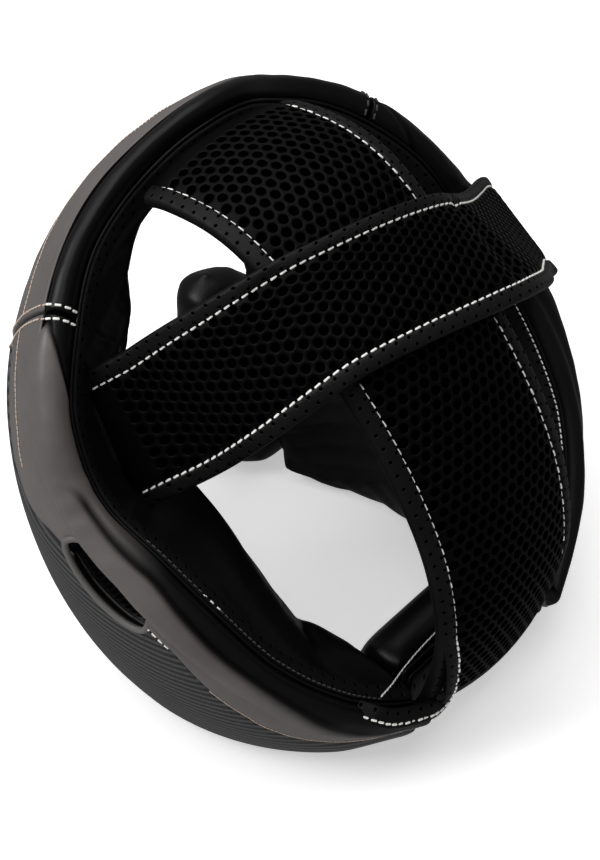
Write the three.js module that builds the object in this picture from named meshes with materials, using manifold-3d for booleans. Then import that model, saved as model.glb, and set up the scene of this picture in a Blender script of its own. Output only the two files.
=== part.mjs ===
// Padded head guard for martial arts: open crown, mesh crown panel and cross strap.
// Millimetres, +Z up, front towards -Y, the wearer's left towards +X.
import * as THREE from 'three';
import { mergeVertices } from 'three/addons/utils/BufferGeometryUtils.js';
import Module from 'manifold-3d';

const wasm = await Module();
wasm.setup();

// Outer form: half sizes of the egg that the covers follow
const HALF_WIDTH = 121;
const HALF_FRONT = 112;
const HALF_BACK = 124;
const HALF_ABOVE = 128;
const HALF_BELOW = 175;
const EGG_HEIGHT = 115;

// Inner form: half sizes of the egg that the liner follows
const INNER_WIDTH = 78;
const INNER_FRONT = 100;
const INNER_BACK = 100;
const INNER_ABOVE = 100;

// Axis of the rim: the rolled rim is set round a line that leans back from the vertical
const RIM_TILT = 50.4;
const RIM_BACK = 27;
const RIM_HEIGHT = 120;

// Seams, edges and gaps
const TEMPLE_TURN = 42;
const TEMPLE_GAP = 0.2;
const LAST_TURN = 152;
const WING_TURN = 161;
const WING_END = 40.3;
const GAP = 0.4;
const SPLIT_GAP = 0.6;
const BROW_BLEND = 18;
const LIP_WIDTH = 4;
const FACE_EDGE = -64;
const FACE_LEVEL = 45;
const FACE_LEAN = -0.278;
const PANEL_RECESS = 3;
const PANEL_FOOT = 9;
const PANEL_PROUD = 0.1;
const PANEL_SHARES = [0, 0.33, 0.67, 1];

// Upper edge of a cover beside the rolled rim, its lower edge, and the points between on the forehead
const COVER_EDGE = { lip: 0.2, lipDrop: 6, shoulder: 0.6, shoulderDrop: 8 };
const COVER_FOOT = { rise: 2.5, inset: 1.2, toe: 6 };
const COVER_SHARES = [0.2, 0.4, 0.6, 0.8, 1];

// Groove between the rolled rim and the cover, and the line between cover and liner below it
const GROOVE = { drop: 5, least: 4, sink: 1 };
const TUCK = { inset: 3, drop: 11 };
const SPLIT = { swing: 0.6, by: 0.45 };
const SPLIT_SHARES = [0.7, 0.45, 0.22];

// Section of the rolled rim from the groove to the inner end of the binding's seat:
// share of the way from groove to crest, step across from there, step up from the crest's depth
const ROLL = [
  { share: 0, across: -0.1, up: -5.4 },
  { share: 0, across: -1, up: -2.4 },
  { share: 0.5, across: 0, up: -0.3 },
  { share: 1, across: 0, up: 0.5 },
  { share: 1, across: -3.6, up: -0.9 },
  { share: 1, across: -5.2, up: -3.4 },
  { share: 1, across: -12.6, up: -8.6 },
];
const SEAT_START = ROLL[ROLL.length - 2];
const SEAT_END = ROLL[ROLL.length - 1];

// Section of the rim binding: along its seat and off it
const RIM_TAPE = [
  { along: 0.8, off: 0.6 },
  { along: 0.8, off: 2.1 },
  { along: 2, off: 2.7 },
  { along: 7.4, off: 2.7 },
  { along: 8.6, off: 2.1 },
  { along: 8.6, off: 0.6 },
];

// Padded inside of the liner: where the slope from the seat reaches the inner form, and the points below
const LIMB = { share: 0.28, across: 0.5, down: 0.45 };
const LINER_SHARES = [0, 0.3, 0.6, 0.88];

// Bands
const CROWN_HALF = 33.5;
const CROWN_THICK = 5;
const CROWN_ARC = 112;
const STRAP_HALF = 22;
const STRAP_THICK = 4.4;
const BINDING_WIDTH = 6;
const BINDING_THICK = 3.6;
const DENT_WIDTH = 7;
const DENT_SHARE = 0.45;

// Ear slot
const SLOT_LENGTH = 48;
const SLOT_WIDTH = 19;
const SLOT_FLOOR = 105;
const SLOT_BACK = 8;
const SLOT_HEIGHT = 103;
const SLOT_SLOPE = -38.5;
const SLOT_REACH = 12;
const PIPING_RADIUS = 1.6;
const PIPING_INSET = 0.2;
const PIPING_LIFT = 0.3;

// Fineness of the faceted bodies
const FRONT_STEPS = 18;
const SIDE_STEPS = 22;
const RIM_STEPS = 62;
const CROWN_STEPS = 26;
const CROWN_COLUMNS = 8;
const STRAP_STEPS = 30;
const STRAP_COLUMNS = 4;
const NAPE_STEPS = 6;
const SLOT_SIDES = 28;
const PIPING_STEPS = 30;
const PIPING_SIDES = 7;
const CHEEK_SIDES = 16;

// Search for the forms' radii and for the ends of the walls
const SEARCH = { reach: 260, halvings: 40, depth: -80, rounds: 60 };
const WELD = 1e-4;

// Crest of the rolled rim: turn round the rim axis from the forehead, radius, depth along the axis
const CREST = [
  { turn: 0, radius: 130, depth: 4 },
  { turn: 10, radius: 130, depth: 1.5 },
  { turn: 20, radius: 128.5, depth: -7 },
  { turn: 30, radius: 127.5, depth: -11 },
  { turn: 45, radius: 123.5, depth: -13.5 },
  { turn: 60, radius: 121, depth: -17.5 },
  { turn: 75, radius: 117, depth: -18.5 },
  { turn: 90, radius: 112, depth: -9.5 },
  { turn: 105, radius: 109, depth: -4 },
  { turn: 120, radius: 110, depth: -1.5 },
  { turn: 135, radius: 114, depth: -1 },
  { turn: 150, radius: 119, depth: -2 },
  { turn: 161, radius: 122, depth: -2 },
];

// Waist of the liner: shares of its plan's half sizes, which shrink below the ears to the neck opening
const WAIST = [
  { height: 0, side: 0.62, front: 0.6, back: 0.85 },
  { height: 20, side: 0.65, front: 0.72, back: 0.89 },
  { height: 40, side: 0.68, front: 0.9, back: 0.94 },
  { height: 75, side: 0.675, front: 1.1, back: 0.98 },
  { height: 98, side: 0.71, front: 1.12, back: 1 },
  { height: 118, side: 0.9, front: 0.94, back: 1 },
  { height: 136, side: 1, front: 0.94, back: 1 },
];

// Lower edge of the forehead, and the seam above the ear panel, both measured along the rim axis
const BROW = [
  { turn: 0, depth: -66 },
  { turn: 20, depth: -69 },
  { turn: 42, depth: -80 },
];
const SEAM = [
  { turn: 42, below: 52 },
  { turn: 60, below: 40 },
  { turn: 75, below: 26 },
  { turn: 92, below: 18.5 },
  { turn: 105, below: 16 },
  { turn: 120, below: 22 },
  { turn: 135, below: 22 },
  { turn: 161, below: 12 },
];

// Middle line of the crown panel from forehead to nape
const CROWN_LINE = [
  { back: -48, height: 212.6 },
  { back: -40, height: 215.6 },
  { back: -28, height: 217.8 },
  { back: -13, height: 218.6 },
  { back: 2, height: 216 },
  { back: 17, height: 209 },
  { back: 37, height: 192.7 },
  { back: 59.5, height: 173 },
  { back: 81, height: 147 },
  { back: 97, height: 118 },
  { back: 104, height: 94 },
  { back: 106.5, height: 72 },
  { back: 104.5, height: 52 },
  { back: 100.5, height: 34 },
  { back: 97.4, height: 25 },
];

// Middle line of the cross strap from the left liner to the outside of the right rim,
// with the direction of its width given as the fall to the rear
const STRAP_LINE = [
  { across: 80, back: -15.5, height: 138.5, fall: -55 },
  { across: 71.5, back: -2, height: 152, fall: -54 },
  { across: 62, back: 14, height: 172, fall: -43 },
  { across: 46, back: 29, height: 192.2, fall: -38 },
  { across: 33, back: 34.2, height: 198, fall: -38 },
  { across: 0, back: 41.2, height: 198.2, fall: -39.5 },
  { across: -33, back: 43.6, height: 190.2, fall: -40 },
  { across: -50, back: 41.5, height: 181.5, fall: -40 },
  { across: -75, back: 31, height: 162.5, fall: -38.5 },
  { across: -98, back: 17.5, height: 144.5, fall: -37.5 },
  { across: -114, back: 8, height: 132.5, fall: -37.5 },
  { across: -121.5, back: 4.5, height: 125.5, fall: -37.5 },
  { across: -124.4, back: 2, height: 119.5, fall: -37.5 },
];

// Cheek pad from its root on the side to its tip: outer and inner edge in plan, height range, lean of the
// root, and how far the lower part is carried on towards the chin
const CHEEK = [
  { outX: 84, outY: -64.5, inX: 42, inY: -64.5, low: 3, high: 72, lean: 1, chin: 20 },
  { outX: 80, outY: -79, inX: 37, inY: -66.5, low: 3, high: 75, lean: 0.7, chin: 22 },
  { outX: 71, outY: -92, inX: 33, inY: -70, low: 4, high: 83, lean: 0.4, chin: 25 },
  { outX: 58, outY: -103, inX: 29, inY: -76, low: 6, high: 89, lean: 0.2, chin: 22 },
  { outX: 44, outY: -109, inX: 27, inY: -85, low: 8, high: 91, lean: 0, chin: 18 },
  { outX: 34, outY: -110, inX: 25.5, inY: -92, low: 13, high: 88, lean: 0, chin: 14 },
  { outX: 29, outY: -107, inX: 24.5, inY: -98, low: 22, high: 79, lean: 0, chin: 13 },
];

// Roundness of a cheek pad's section: 1 is an oval, less is squarer; and its width when laid flat
const CHEEK_ROUND = 0.62;
const CHEEK_FLAT = 40;

// Section of the nape pad, and the two upright strips behind it
const NAPE_PAD = [
  { back: 58, height: 6 },
  { back: 55, height: 14 },
  { back: 54, height: 28 },
  { back: 57, height: 36 },
  { back: 63, height: 40 },
  { back: 72, height: 41.5 },
  { back: 80, height: 40.5 },
  { back: 82, height: 37 },
  { back: 82, height: 12 },
  { back: 80, height: 0 },
  { back: 64, height: 0 },
];
const NAPE_BINDING = { front: 82.4, rear: 84.6, low: 28, high: 43 };
const NAPE_BACKING = { front: 85, rear: 87.2, low: 14, high: 42 };

// Places along the cross strap, by x, where a seam across it presses a dent
const STRAP_DENTS = [42, -50];

const RAD = Math.PI / 180;
const HEAD_MIDDLE = new THREE.Vector3(0, 0, EGG_HEIGHT);
const mix = (a, b, t) => a + (b - a) * t;
const ease = (t) => t * t * (3 - 2 * t);
const TILT_SIN = Math.sin(RIM_TILT * RAD);
const TILT_COS = Math.cos(RIM_TILT * RAD);

// Smooth value of one column of a table at a key
function look(table, key, column, at) {
  const last = table.length - 1;
  let i = 0;
  while (i < last - 1 && table[i + 1][key] < at) i += 1;
  const slope = (j) => {
    const a = table[Math.max(j - 1, 0)];
    const b = table[Math.min(j + 1, last)];
    return (b[column] - a[column]) / (b[key] - a[key]);
  };
  const width = table[i + 1][key] - table[i][key];
  const t = Math.min(Math.max((at - table[i][key]) / width, 0), 1);
  const t2 = t * t;
  const t3 = t2 * t;
  return (2 * t3 - 3 * t2 + 1) * table[i][column] + (t3 - 2 * t2 + t) * width * slope(i)
    + (3 * t2 - 2 * t3) * table[i + 1][column] + (t3 - t2) * width * slope(i + 1);
}

// Point of the rim frame: turn in degrees, radius from the rim axis, depth along it
function rimPoint(turn, radius, depth) {
  const up = radius * Math.cos(turn * RAD);
  return new THREE.Vector3(
    radius * Math.sin(turn * RAD),
    RIM_BACK - TILT_COS * up + TILT_SIN * depth,
    RIM_HEIGHT + TILT_SIN * up + TILT_COS * depth,
  );
}

// Radius at which a half plane of the rim frame meets an egg
function eggRadius(egg, turn, depth) {
  let near = 0;
  let far = SEARCH.reach;
  for (let i = 0; i < SEARCH.halvings; i += 1) {
    const radius = (near + far) / 2;
    const p = rimPoint(turn, radius, depth);
    const { side, front, back } = egg(p.z);
    if ((p.x / side) ** 2 + (p.y / (p.y < 0 ? front : back)) ** 2 < 1) near = radius;
    else far = radius;
  }
  return near;
}

// Half sizes of a form's plan at a height
function outer(z) {
  const rise = (z - EGG_HEIGHT) / (z > EGG_HEIGHT ? HALF_ABOVE : HALF_BELOW);
  const share = Math.sqrt(Math.max(1 - rise * rise, 0));
  return { side: HALF_WIDTH * share, front: HALF_FRONT * share, back: HALF_BACK * share };
}
function inner(z) {
  const rise = Math.max(z - EGG_HEIGHT, 0) / INNER_ABOVE;
  const share = Math.sqrt(Math.max(1 - rise * rise, 0));
  return {
    side: INNER_WIDTH * share * look(WAIST, 'height', 'side', z),
    front: INNER_FRONT * share * look(WAIST, 'height', 'front', z),
    back: INNER_BACK * share * look(WAIST, 'height', 'back', z),
  };
}

// Depth at which a side wall ends: at the leaning face edge or the floor
function sideEnd(turn, radius) {
  const up = radius * Math.cos(turn * RAD);
  const floor = -(RIM_HEIGHT + TILT_SIN * up) / TILT_COS;
  const face = (FACE_EDGE - RIM_BACK + FACE_LEAN * (RIM_HEIGHT - FACE_LEVEL)
    + up * (TILT_COS + FACE_LEAN * TILT_SIN)) / (TILT_SIN - FACE_LEAN * TILT_COS);
  return Math.max(floor, face);
}

// Depth at which the forehead ends: at the brow, running on into the face edge at the temples
function browEnd(turn, radius) {
  const side = Math.abs(turn);
  const share = Math.max(side - BROW_BLEND, 0) / (TEMPLE_TURN - BROW_BLEND);
  return mix(look(BROW, 'turn', 'depth', side), sideEnd(turn, radius), ease(share));
}

// Depth at which an egg meets the end of its wall
function meet(end, egg, turn, inset) {
  let depth = SEARCH.depth;
  for (let i = 0; i < SEARCH.rounds; i += 1) {
    const radius = eggRadius(egg, turn, depth) + inset;
    depth = mix(depth, end(turn, radius), 0.5);
  }
  return depth;
}

// Everything that one cross section of the wall needs
function wall(turn, end) {
  const side = Math.abs(turn);
  const radius = look(CREST, 'turn', 'radius', side);
  const depth = look(CREST, 'turn', 'depth', side);
  const outEnd = meet(end, outer, turn, -COVER_FOOT.toe);
  const inEnd = meet(end, inner, turn, LIP_WIDTH);
  const out = (at) => eggRadius(outer, turn, at);
  const inn = (at) => eggRadius(inner, turn, at);
  const groove = Math.max(out(depth - GROOVE.drop), radius + GROOVE.least) - GROOVE.sink;
  const splitEnd = mix(inn(inEnd), out(outEnd), 0.5);
  const split = (share) => {
    const swing = ease(Math.min(share / SPLIT.by, 1));
    return mix(groove - TUCK.inset, splitEnd, mix(share, swing, SPLIT.swing));
  };
  const splitDepth = (share) => mix(depth - TUCK.drop, end(turn, splitEnd), share);
  return { turn, radius, depth, outEnd, inEnd, out, inn, groove, split, splitDepth, end };
}

// Cross section of an outer cover; the side covers are set back for the ear panel
function coverSection(w, recess) {
  const { turn, depth, outEnd, out, groove, split, splitDepth } = w;
  const half = SPLIT_GAP / 2;
  const seam = depth - look(SEAM, 'turn', 'below', Math.abs(turn));
  const foot = outEnd + PANEL_FOOT;
  const shoulder = depth - COVER_EDGE.shoulderDrop;
  const points = [
    [groove - TUCK.inset + half, depth - TUCK.drop],
    [groove + COVER_EDGE.lip, depth - COVER_EDGE.lipDrop],
    [Math.max(out(shoulder), groove + COVER_EDGE.shoulder), shoulder],
  ];
  if (recess > 0) {
    const middle = (shoulder + seam) / 2;
    points.push([out(middle), middle], [out(seam), seam]);
    for (const share of PANEL_SHARES) {
      const at = mix(seam - GAP, foot + GAP, share);
      points.push([out(at) - recess, at]);
    }
    points.push([out(foot), foot]);
  } else {
    for (const share of COVER_SHARES) {
      const at = mix(shoulder, foot, share);
      points.push([out(at), at]);
    }
  }
  const hem = outEnd + COVER_FOOT.rise;
  points.push([out(hem) - COVER_FOOT.inset, hem]);
  const toe = out(outEnd) - COVER_FOOT.toe;
  points.push([toe, w.end(turn, toe)]);
  const heel = split(1) + half;
  points.push([heel, w.end(turn, heel)]);
  for (const share of SPLIT_SHARES) points.push([split(share) + half, splitDepth(share)]);
  return points;
}

// Cross section of the ear panel that lies in the recess of a side cover
function panelSection(w) {
  const { turn, depth, outEnd, out } = w;
  const seam = depth - look(SEAM, 'turn', 'below', Math.abs(turn));
  const foot = outEnd + PANEL_FOOT;
  const face = [];
  const back = [];
  for (const share of PANEL_SHARES) {
    const at = mix(seam - GAP, foot + GAP, share);
    const trim = share === 0 ? -GAP : share === 1 ? 2 * GAP : 0;
    face.push([out(at) + PANEL_PROUD, at + trim]);
    back.unshift([out(at) - PANEL_RECESS + 2 * GAP, at + trim]);
  }
  return [...face, ...back];
}

// Cross section of the liner with the rolled rim, the seat of the binding and the padded inside
function linerSection(w) {
  const { turn, radius, depth, inEnd, inn, groove, split, splitDepth } = w;
  const half = SPLIT_GAP / 2;
  const limb = mix(depth, inEnd, LIMB.share);
  const points = [[groove - TUCK.inset - half, depth - TUCK.drop]];
  for (const { share, across, up } of ROLL) points.push([mix(groove, radius, share) + across, depth + up]);
  points.push([
    mix(radius + SEAT_END.across, inn(limb), LIMB.across),
    mix(depth + SEAT_END.up, limb, LIMB.down),
  ]);
  for (const share of LINER_SHARES) {
    const at = mix(limb, inEnd, share);
    points.push([inn(at), at]);
  }
  const lip = inn(inEnd);
  points.push([lip + LIP_WIDTH, w.end(turn, lip + LIP_WIDTH)]);
  const heel = split(1) - half;
  points.push([heel, w.end(turn, heel)]);
  for (const share of SPLIT_SHARES) points.push([split(share) - half, splitDepth(share)]);
  return points;
}

// Cross section of the perforated strip on its seat inside the rolled rim
function rimSection(w) {
  const { radius, depth } = w;
  const start = new THREE.Vector2(SEAT_START.across, SEAT_START.up);
  const seat = new THREE.Vector2(SEAT_END.across, SEAT_END.up).sub(start).normalize();
  return RIM_TAPE.map(({ along, off }) => [
    radius + start.x + seat.x * along + seat.y * off,
    depth + start.y + seat.y * along - seat.x * off,
  ]);
}

// Closed body through a row of sections; rings hold the points in space, flats the same points in a plane.
// Each four-sided face is split along its shorter diagonal, so that neighbours split alike.
function loft(rings, flats, closed = false) {
  const count = rings[0].length;
  const position = [];
  for (const ring of rings) for (const p of ring) position.push(p.x, p.y, p.z);
  const index = [];
  const spans = closed ? rings.length : rings.length - 1;
  for (let i = 0; i < spans; i += 1) {
    const a = i * count;
    const b = ((i + 1) % rings.length) * count;
    for (let j = 0; j < count; j += 1) {
      const k = (j + 1) % count;
      const fall = rings[i][j].distanceTo(rings[(i + 1) % rings.length][k]);
      const rise = rings[i][k].distanceTo(rings[(i + 1) % rings.length][j]);
      if (fall < rise) index.push(a + j, b + j, b + k, a + j, b + k, a + k);
      else index.push(a + j, b + j, a + k, b + j, b + k, a + k);
    }
  }
  if (!closed) {
    const top = (rings.length - 1) * count;
    const ends = [[0, flats[0], false], [top, flats[flats.length - 1], true]];
    for (const [start, flat, turned] of ends) {
      const outline = THREE.ShapeUtils.isClockWise(flat);
      for (const [p, q, r] of THREE.ShapeUtils.triangulateShape(flat, [])) {
        const flip = outline !== turned;
        index.push(start + p, start + (flip ? r : q), start + (flip ? q : r));
      }
    }
  }
  const geometry = new THREE.BufferGeometry();
  geometry.setAttribute('position', new THREE.Float32BufferAttribute(position, 3));
  geometry.setIndex(index);
  return facingOut(geometry);
}

// The same body with its faces pointing out
function facingOut(geometry) {
  const p = geometry.attributes.position;
  const index = geometry.index.array;
  const a = new THREE.Vector3();
  const b = new THREE.Vector3();
  const c = new THREE.Vector3();
  let volume = 0;
  for (let i = 0; i < index.length; i += 3) {
    a.fromBufferAttribute(p, index[i]);
    b.fromBufferAttribute(p, index[i + 1]);
    c.fromBufferAttribute(p, index[i + 2]);
    volume += a.dot(b.cross(c)) / 6;
  }
  if (volume < 0) {
    for (let i = 0; i < index.length; i += 3) [index[i + 1], index[i + 2]] = [index[i + 2], index[i + 1]];
  }
  return geometry;
}

// Body of a wall swept over turns of the rim; the wing ends are square beside the crown panel,
// and the base is flat where the guard rests
function sweep(turns, end, section) {
  const rings = [];
  const flats = [];
  for (const turn of turns) {
    const pairs = section(wall(turn, end));
    const wing = Math.abs(turn) === WING_TURN;
    rings.push(pairs.map(([radius, depth]) => {
      const p = rimPoint(turn, radius, depth);
      if (wing) p.x = Math.sign(turn) * WING_END;
      p.z = Math.max(p.z, 0);
      return p;
    }));
    flats.push(pairs.map(([radius, depth]) => new THREE.Vector2(radius, depth)));
  }
  return loft(rings, flats);
}

function steps(from, to, count) {
  return Array.from({ length: count + 1 }, (_, i) => mix(from, to, i / count));
}

// Curve through the rows of a table, as evenly spaced points with tangents
function curve(points, count) {
  const line = new THREE.CatmullRomCurve3(points, false, 'centripetal');
  return steps(0, 1, count).map((t) => ({ at: line.getPointAt(t), along: line.getTangentAt(t), share: t }));
}

// Band of the crown between two values of x, following the crown line and the round of the head
function crownBand(from, to, thick, count) {
  const points = CROWN_LINE.map((row) => new THREE.Vector3(0, row.back, row.height));
  const xs = steps(from, to, count);
  const rings = [];
  const flats = [];
  for (const { at, along } of curve(points, CROWN_STEPS)) {
    const normal = new THREE.Vector3(0, -along.z, along.y);
    const place = (x, off) => {
      const drop = CROWN_ARC - Math.sqrt(CROWN_ARC * CROWN_ARC - x * x);
      return new THREE.Vector3(x, at.y, at.z).addScaledVector(normal, off - drop);
    };
    const top = xs.map((x) => [x, thick / 2]);
    const under = xs.map((x) => [x, -thick / 2]).reverse();
    const pairs = [...top, ...under];
    rings.push(pairs.map(([x, off]) => place(x, off)));
    flats.push(pairs.map(([x, off]) => new THREE.Vector2(x, off)));
  }
  return loft(rings, flats);
}

// Band of the cross strap between two places across its width, dented where it is sewn down
function strapBand(from, to, thick, count) {
  const points = STRAP_LINE.map((row) => new THREE.Vector3(row.across, row.back, row.height));
  const falls = STRAP_LINE.map((row, i) => ({ share: i / (STRAP_LINE.length - 1), fall: row.fall }));
  const across = steps(from, to, count);
  const rings = [];
  const flats = [];
  for (const { at, along, share } of curve(points, STRAP_STEPS)) {
    const fall = look(falls, 'share', 'fall', share) * RAD;
    const width = new THREE.Vector3(0, Math.cos(fall), Math.sin(fall));
    width.addScaledVector(along, -width.dot(along)).normalize();
    const normal = new THREE.Vector3().crossVectors(along, width).normalize();
    if (normal.dot(at.clone().sub(HEAD_MIDDLE)) < 0) normal.negate();
    const dent = Math.max(...STRAP_DENTS.map((x) => 1 - Math.abs(at.x - x) / DENT_WIDTH), 0);
    const top = thick / 2 - thick * DENT_SHARE * ease(dent);
    const pairs = [
      ...across.map((s) => [s, top]),
      ...across.map((s) => [s, -thick / 2]).reverse(),
    ];
    rings.push(pairs.map(([s, off]) => at.clone().addScaledVector(width, s).addScaledVector(normal, off)));
    flats.push(pairs.map(([s, off]) => new THREE.Vector2(s, off)));
  }
  return loft(rings, flats);
}

// Rounded pad of a cheek, drawn on the left and mirrored for the right
function cheekPad(sign) {
  const rings = [];
  const flats = [];
  const round = (value) => Math.sign(value) * Math.abs(value) ** CHEEK_ROUND;
  for (const row of CHEEK) {
    const ring = [];
    const flat = [];
    for (let i = 0; i < CHEEK_SIDES; i += 1) {
      const angle = (i / CHEEK_SIDES) * 2 * Math.PI;
      const u = 0.5 + 0.5 * round(Math.cos(angle));
      const v = 0.5 + 0.5 * round(Math.sin(angle));
      const z = mix(row.low, row.high, v);
      const lean = row.lean * FACE_LEAN * (z - FACE_LEVEL);
      const x = mix(row.inX, row.outX, u) - row.chin * (1 - v);
      ring.push(new THREE.Vector3(sign * x, mix(row.inY, row.outY, u) + lean, z));
      flat.push(new THREE.Vector2(u * CHEEK_FLAT, z));
    }
    rings.push(ring);
    flats.push(flat);
  }
  return loft(rings, flats);
}

// Four corners of an upright strip of the nape
function strip({ front, rear, low, high }) {
  return [
    { back: front, height: low }, { back: front, height: high },
    { back: rear, height: high }, { back: rear, height: low },
  ];
}

// Straight bar across the nape with a given section in the plane of back and height
function napeBar(section, half) {
  const ring = (x) => section.map(({ back, height }) => new THREE.Vector3(x, back, height));
  const flat = section.map(({ back, height }) => new THREE.Vector2(back, height));
  const xs = steps(-half, half, NAPE_STEPS);
  return loft(xs.map(ring), xs.map(() => flat));
}

// Point of the ear slot's outline on the outer form
function slotPoint(sign, angle, inset, lift) {
  const slope = SLOT_SLOPE * RAD;
  const along = (SLOT_LENGTH / 2 - inset) * Math.cos(angle);
  const over = (SLOT_WIDTH / 2 - inset) * Math.sin(angle);
  const y = SLOT_BACK + along * Math.cos(slope) - over * Math.sin(slope);
  const z = SLOT_HEIGHT + along * Math.sin(slope) + over * Math.cos(slope);
  const { side, front, back } = outer(z);
  const x = side * Math.sqrt(1 - (y / (y < 0 ? front : back)) ** 2);
  return new THREE.Vector3(sign * (x + lift), y, z);
}

// Oval cutter for an ear slot, from its floor outwards
function slotCutter(sign) {
  const rings = [SLOT_FLOOR, HALF_WIDTH + SLOT_REACH].map((x) => steps(0, 1, SLOT_SIDES).slice(1).map((t) => {
    const p = slotPoint(sign, t * 2 * Math.PI, 0, 0);
    return new THREE.Vector3(sign * x, p.y, p.z);
  }));
  return loft(rings, rings.map((ring) => ring.map((p) => new THREE.Vector2(p.y, p.z))));
}

// Round piping that edges an ear slot
function slotPiping(sign) {
  const rings = [];
  const inset = PIPING_RADIUS + GAP + PIPING_INSET;
  for (let i = 0; i < PIPING_STEPS; i += 1) {
    const angle = (i / PIPING_STEPS) * 2 * Math.PI;
    const at = slotPoint(sign, angle, inset, PIPING_LIFT);
    const inward = slotPoint(sign, angle, inset + 1, PIPING_LIFT).sub(at);
    inward.x = 0;
    inward.normalize();
    const out = new THREE.Vector3(sign, 0, 0);
    const ring = [];
    for (let j = 0; j < PIPING_SIDES; j += 1) {
      const roll = (j / PIPING_SIDES) * 2 * Math.PI;
      ring.push(at.clone().addScaledVector(inward, PIPING_RADIUS * Math.cos(roll))
        .addScaledVector(out, PIPING_RADIUS * Math.sin(roll)));
    }
    rings.push(ring);
  }
  return loft(rings, null, true);
}

function solid(geometry) {
  const merged = mergeVertices(geometry, WELD);
  return new wasm.Manifold(new wasm.Mesh({
    numProp: 3,
    vertProperties: new Float32Array(merged.attributes.position.array),
    triVerts: new Uint32Array(merged.index.array),
  }));
}

function cut(geometry, tool) {
  const mesh = solid(geometry).subtract(solid(tool)).getMesh();
  const result = new THREE.BufferGeometry();
  result.setAttribute('position', new THREE.BufferAttribute(mesh.vertProperties.slice(), 3));
  result.setIndex(new THREE.BufferAttribute(mesh.triVerts.slice(), 1));
  return result;
}

const LOOKS = {
  grey_leather: { color: 0x6a6563, roughness: 0.42, metalness: 0 },
  black_leather: { color: 0x1d1d1f, roughness: 0.45, metalness: 0 },
  twill: { color: 0x2c2c2d, roughness: 0.5, metalness: 0 },
  piping: { color: 0x8c8986, roughness: 0.5, metalness: 0 },
  perforated: { color: 0x161617, roughness: 0.6, metalness: 0 },
  mesh: { color: 0x0b0b0c, roughness: 0.85, metalness: 0 },
};

const guard = new THREE.Group();
function add(name, geometry, finish) {
  const shown = geometry.index ? geometry.toNonIndexed() : geometry;
  shown.computeVertexNormals();
  const mesh = new THREE.Mesh(shown, new THREE.MeshStandardMaterial(LOOKS[finish]));
  mesh.name = name;
  guard.add(mesh);
}

const frontTurns = steps(-TEMPLE_TURN + TEMPLE_GAP, TEMPLE_TURN - TEMPLE_GAP, FRONT_STEPS);
add('forehead_cover', sweep(frontTurns, browEnd, (w) => coverSection(w, 0)), 'grey_leather');
add('forehead_liner', sweep(frontTurns, browEnd, linerSection), 'black_leather');

for (const [side, sign] of [['left', 1], ['right', -1]]) {
  const along = [...steps(TEMPLE_TURN + TEMPLE_GAP, LAST_TURN, SIDE_STEPS), WING_TURN];
  const turns = along.map((turn) => sign * turn);
  const slot = slotCutter(sign);
  const cover = sweep(turns, sideEnd, (w) => coverSection(w, PANEL_RECESS));
  add(`side_cover_${side}`, cut(cover, slot), 'grey_leather');
  add(`ear_panel_${side}`, cut(sweep(turns, sideEnd, panelSection), slot), 'twill');
  add(`side_liner_${side}`, sweep(turns, sideEnd, linerSection), 'black_leather');
  add(`ear_piping_${side}`, slotPiping(sign), 'piping');
  add(`cheek_pad_${side}`, cheekPad(sign), 'black_leather');
  const edge = sign * (CROWN_HALF + GAP);
  const rim = sign * (CROWN_HALF + GAP + BINDING_WIDTH);
  add(`crown_binding_${side}`, crownBand(edge, rim, BINDING_THICK, 2), 'perforated');
}

const rimTurns = [-WING_TURN, ...steps(-LAST_TURN, LAST_TURN, RIM_STEPS), WING_TURN];
add('rim_binding', sweep(rimTurns, sideEnd, rimSection), 'perforated');
add('crown_panel', crownBand(-CROWN_HALF, CROWN_HALF, CROWN_THICK, CROWN_COLUMNS), 'mesh');
add('cross_strap', strapBand(-STRAP_HALF, STRAP_HALF, STRAP_THICK, STRAP_COLUMNS), 'mesh');
const strapEdge = STRAP_HALF + GAP;
add('strap_binding_front', strapBand(-strapEdge - BINDING_WIDTH, -strapEdge, BINDING_THICK, 1), 'perforated');
add('strap_binding_rear', strapBand(strapEdge, strapEdge + BINDING_WIDTH, BINDING_THICK, 1), 'perforated');

const napeHalf = WING_END - GAP;
add('nape_pad', napeBar(NAPE_PAD, napeHalf), 'black_leather');
add('nape_binding', napeBar(strip(NAPE_BINDING), napeHalf), 'perforated');
add('nape_backing', napeBar(strip(NAPE_BACKING), napeHalf), 'perforated');

// The origin is the middle of the footprint at floor level
const box = new THREE.Box3().setFromObject(guard);
const middle = box.getCenter(new THREE.Vector3());
guard.position.set(-middle.x, -middle.y, -box.min.z);

export default guard;
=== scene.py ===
"""Padded head guard for martial arts: leather walls, rolled rim, mesh crown panel and cross strap."""

import math
from types import SimpleNamespace

import bmesh
import bpy
import numpy as np
from bpy.props import FloatProperty, FloatVectorProperty, IntProperty, PointerProperty
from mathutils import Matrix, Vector
from mathutils.bvhtree import BVHTree


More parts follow.
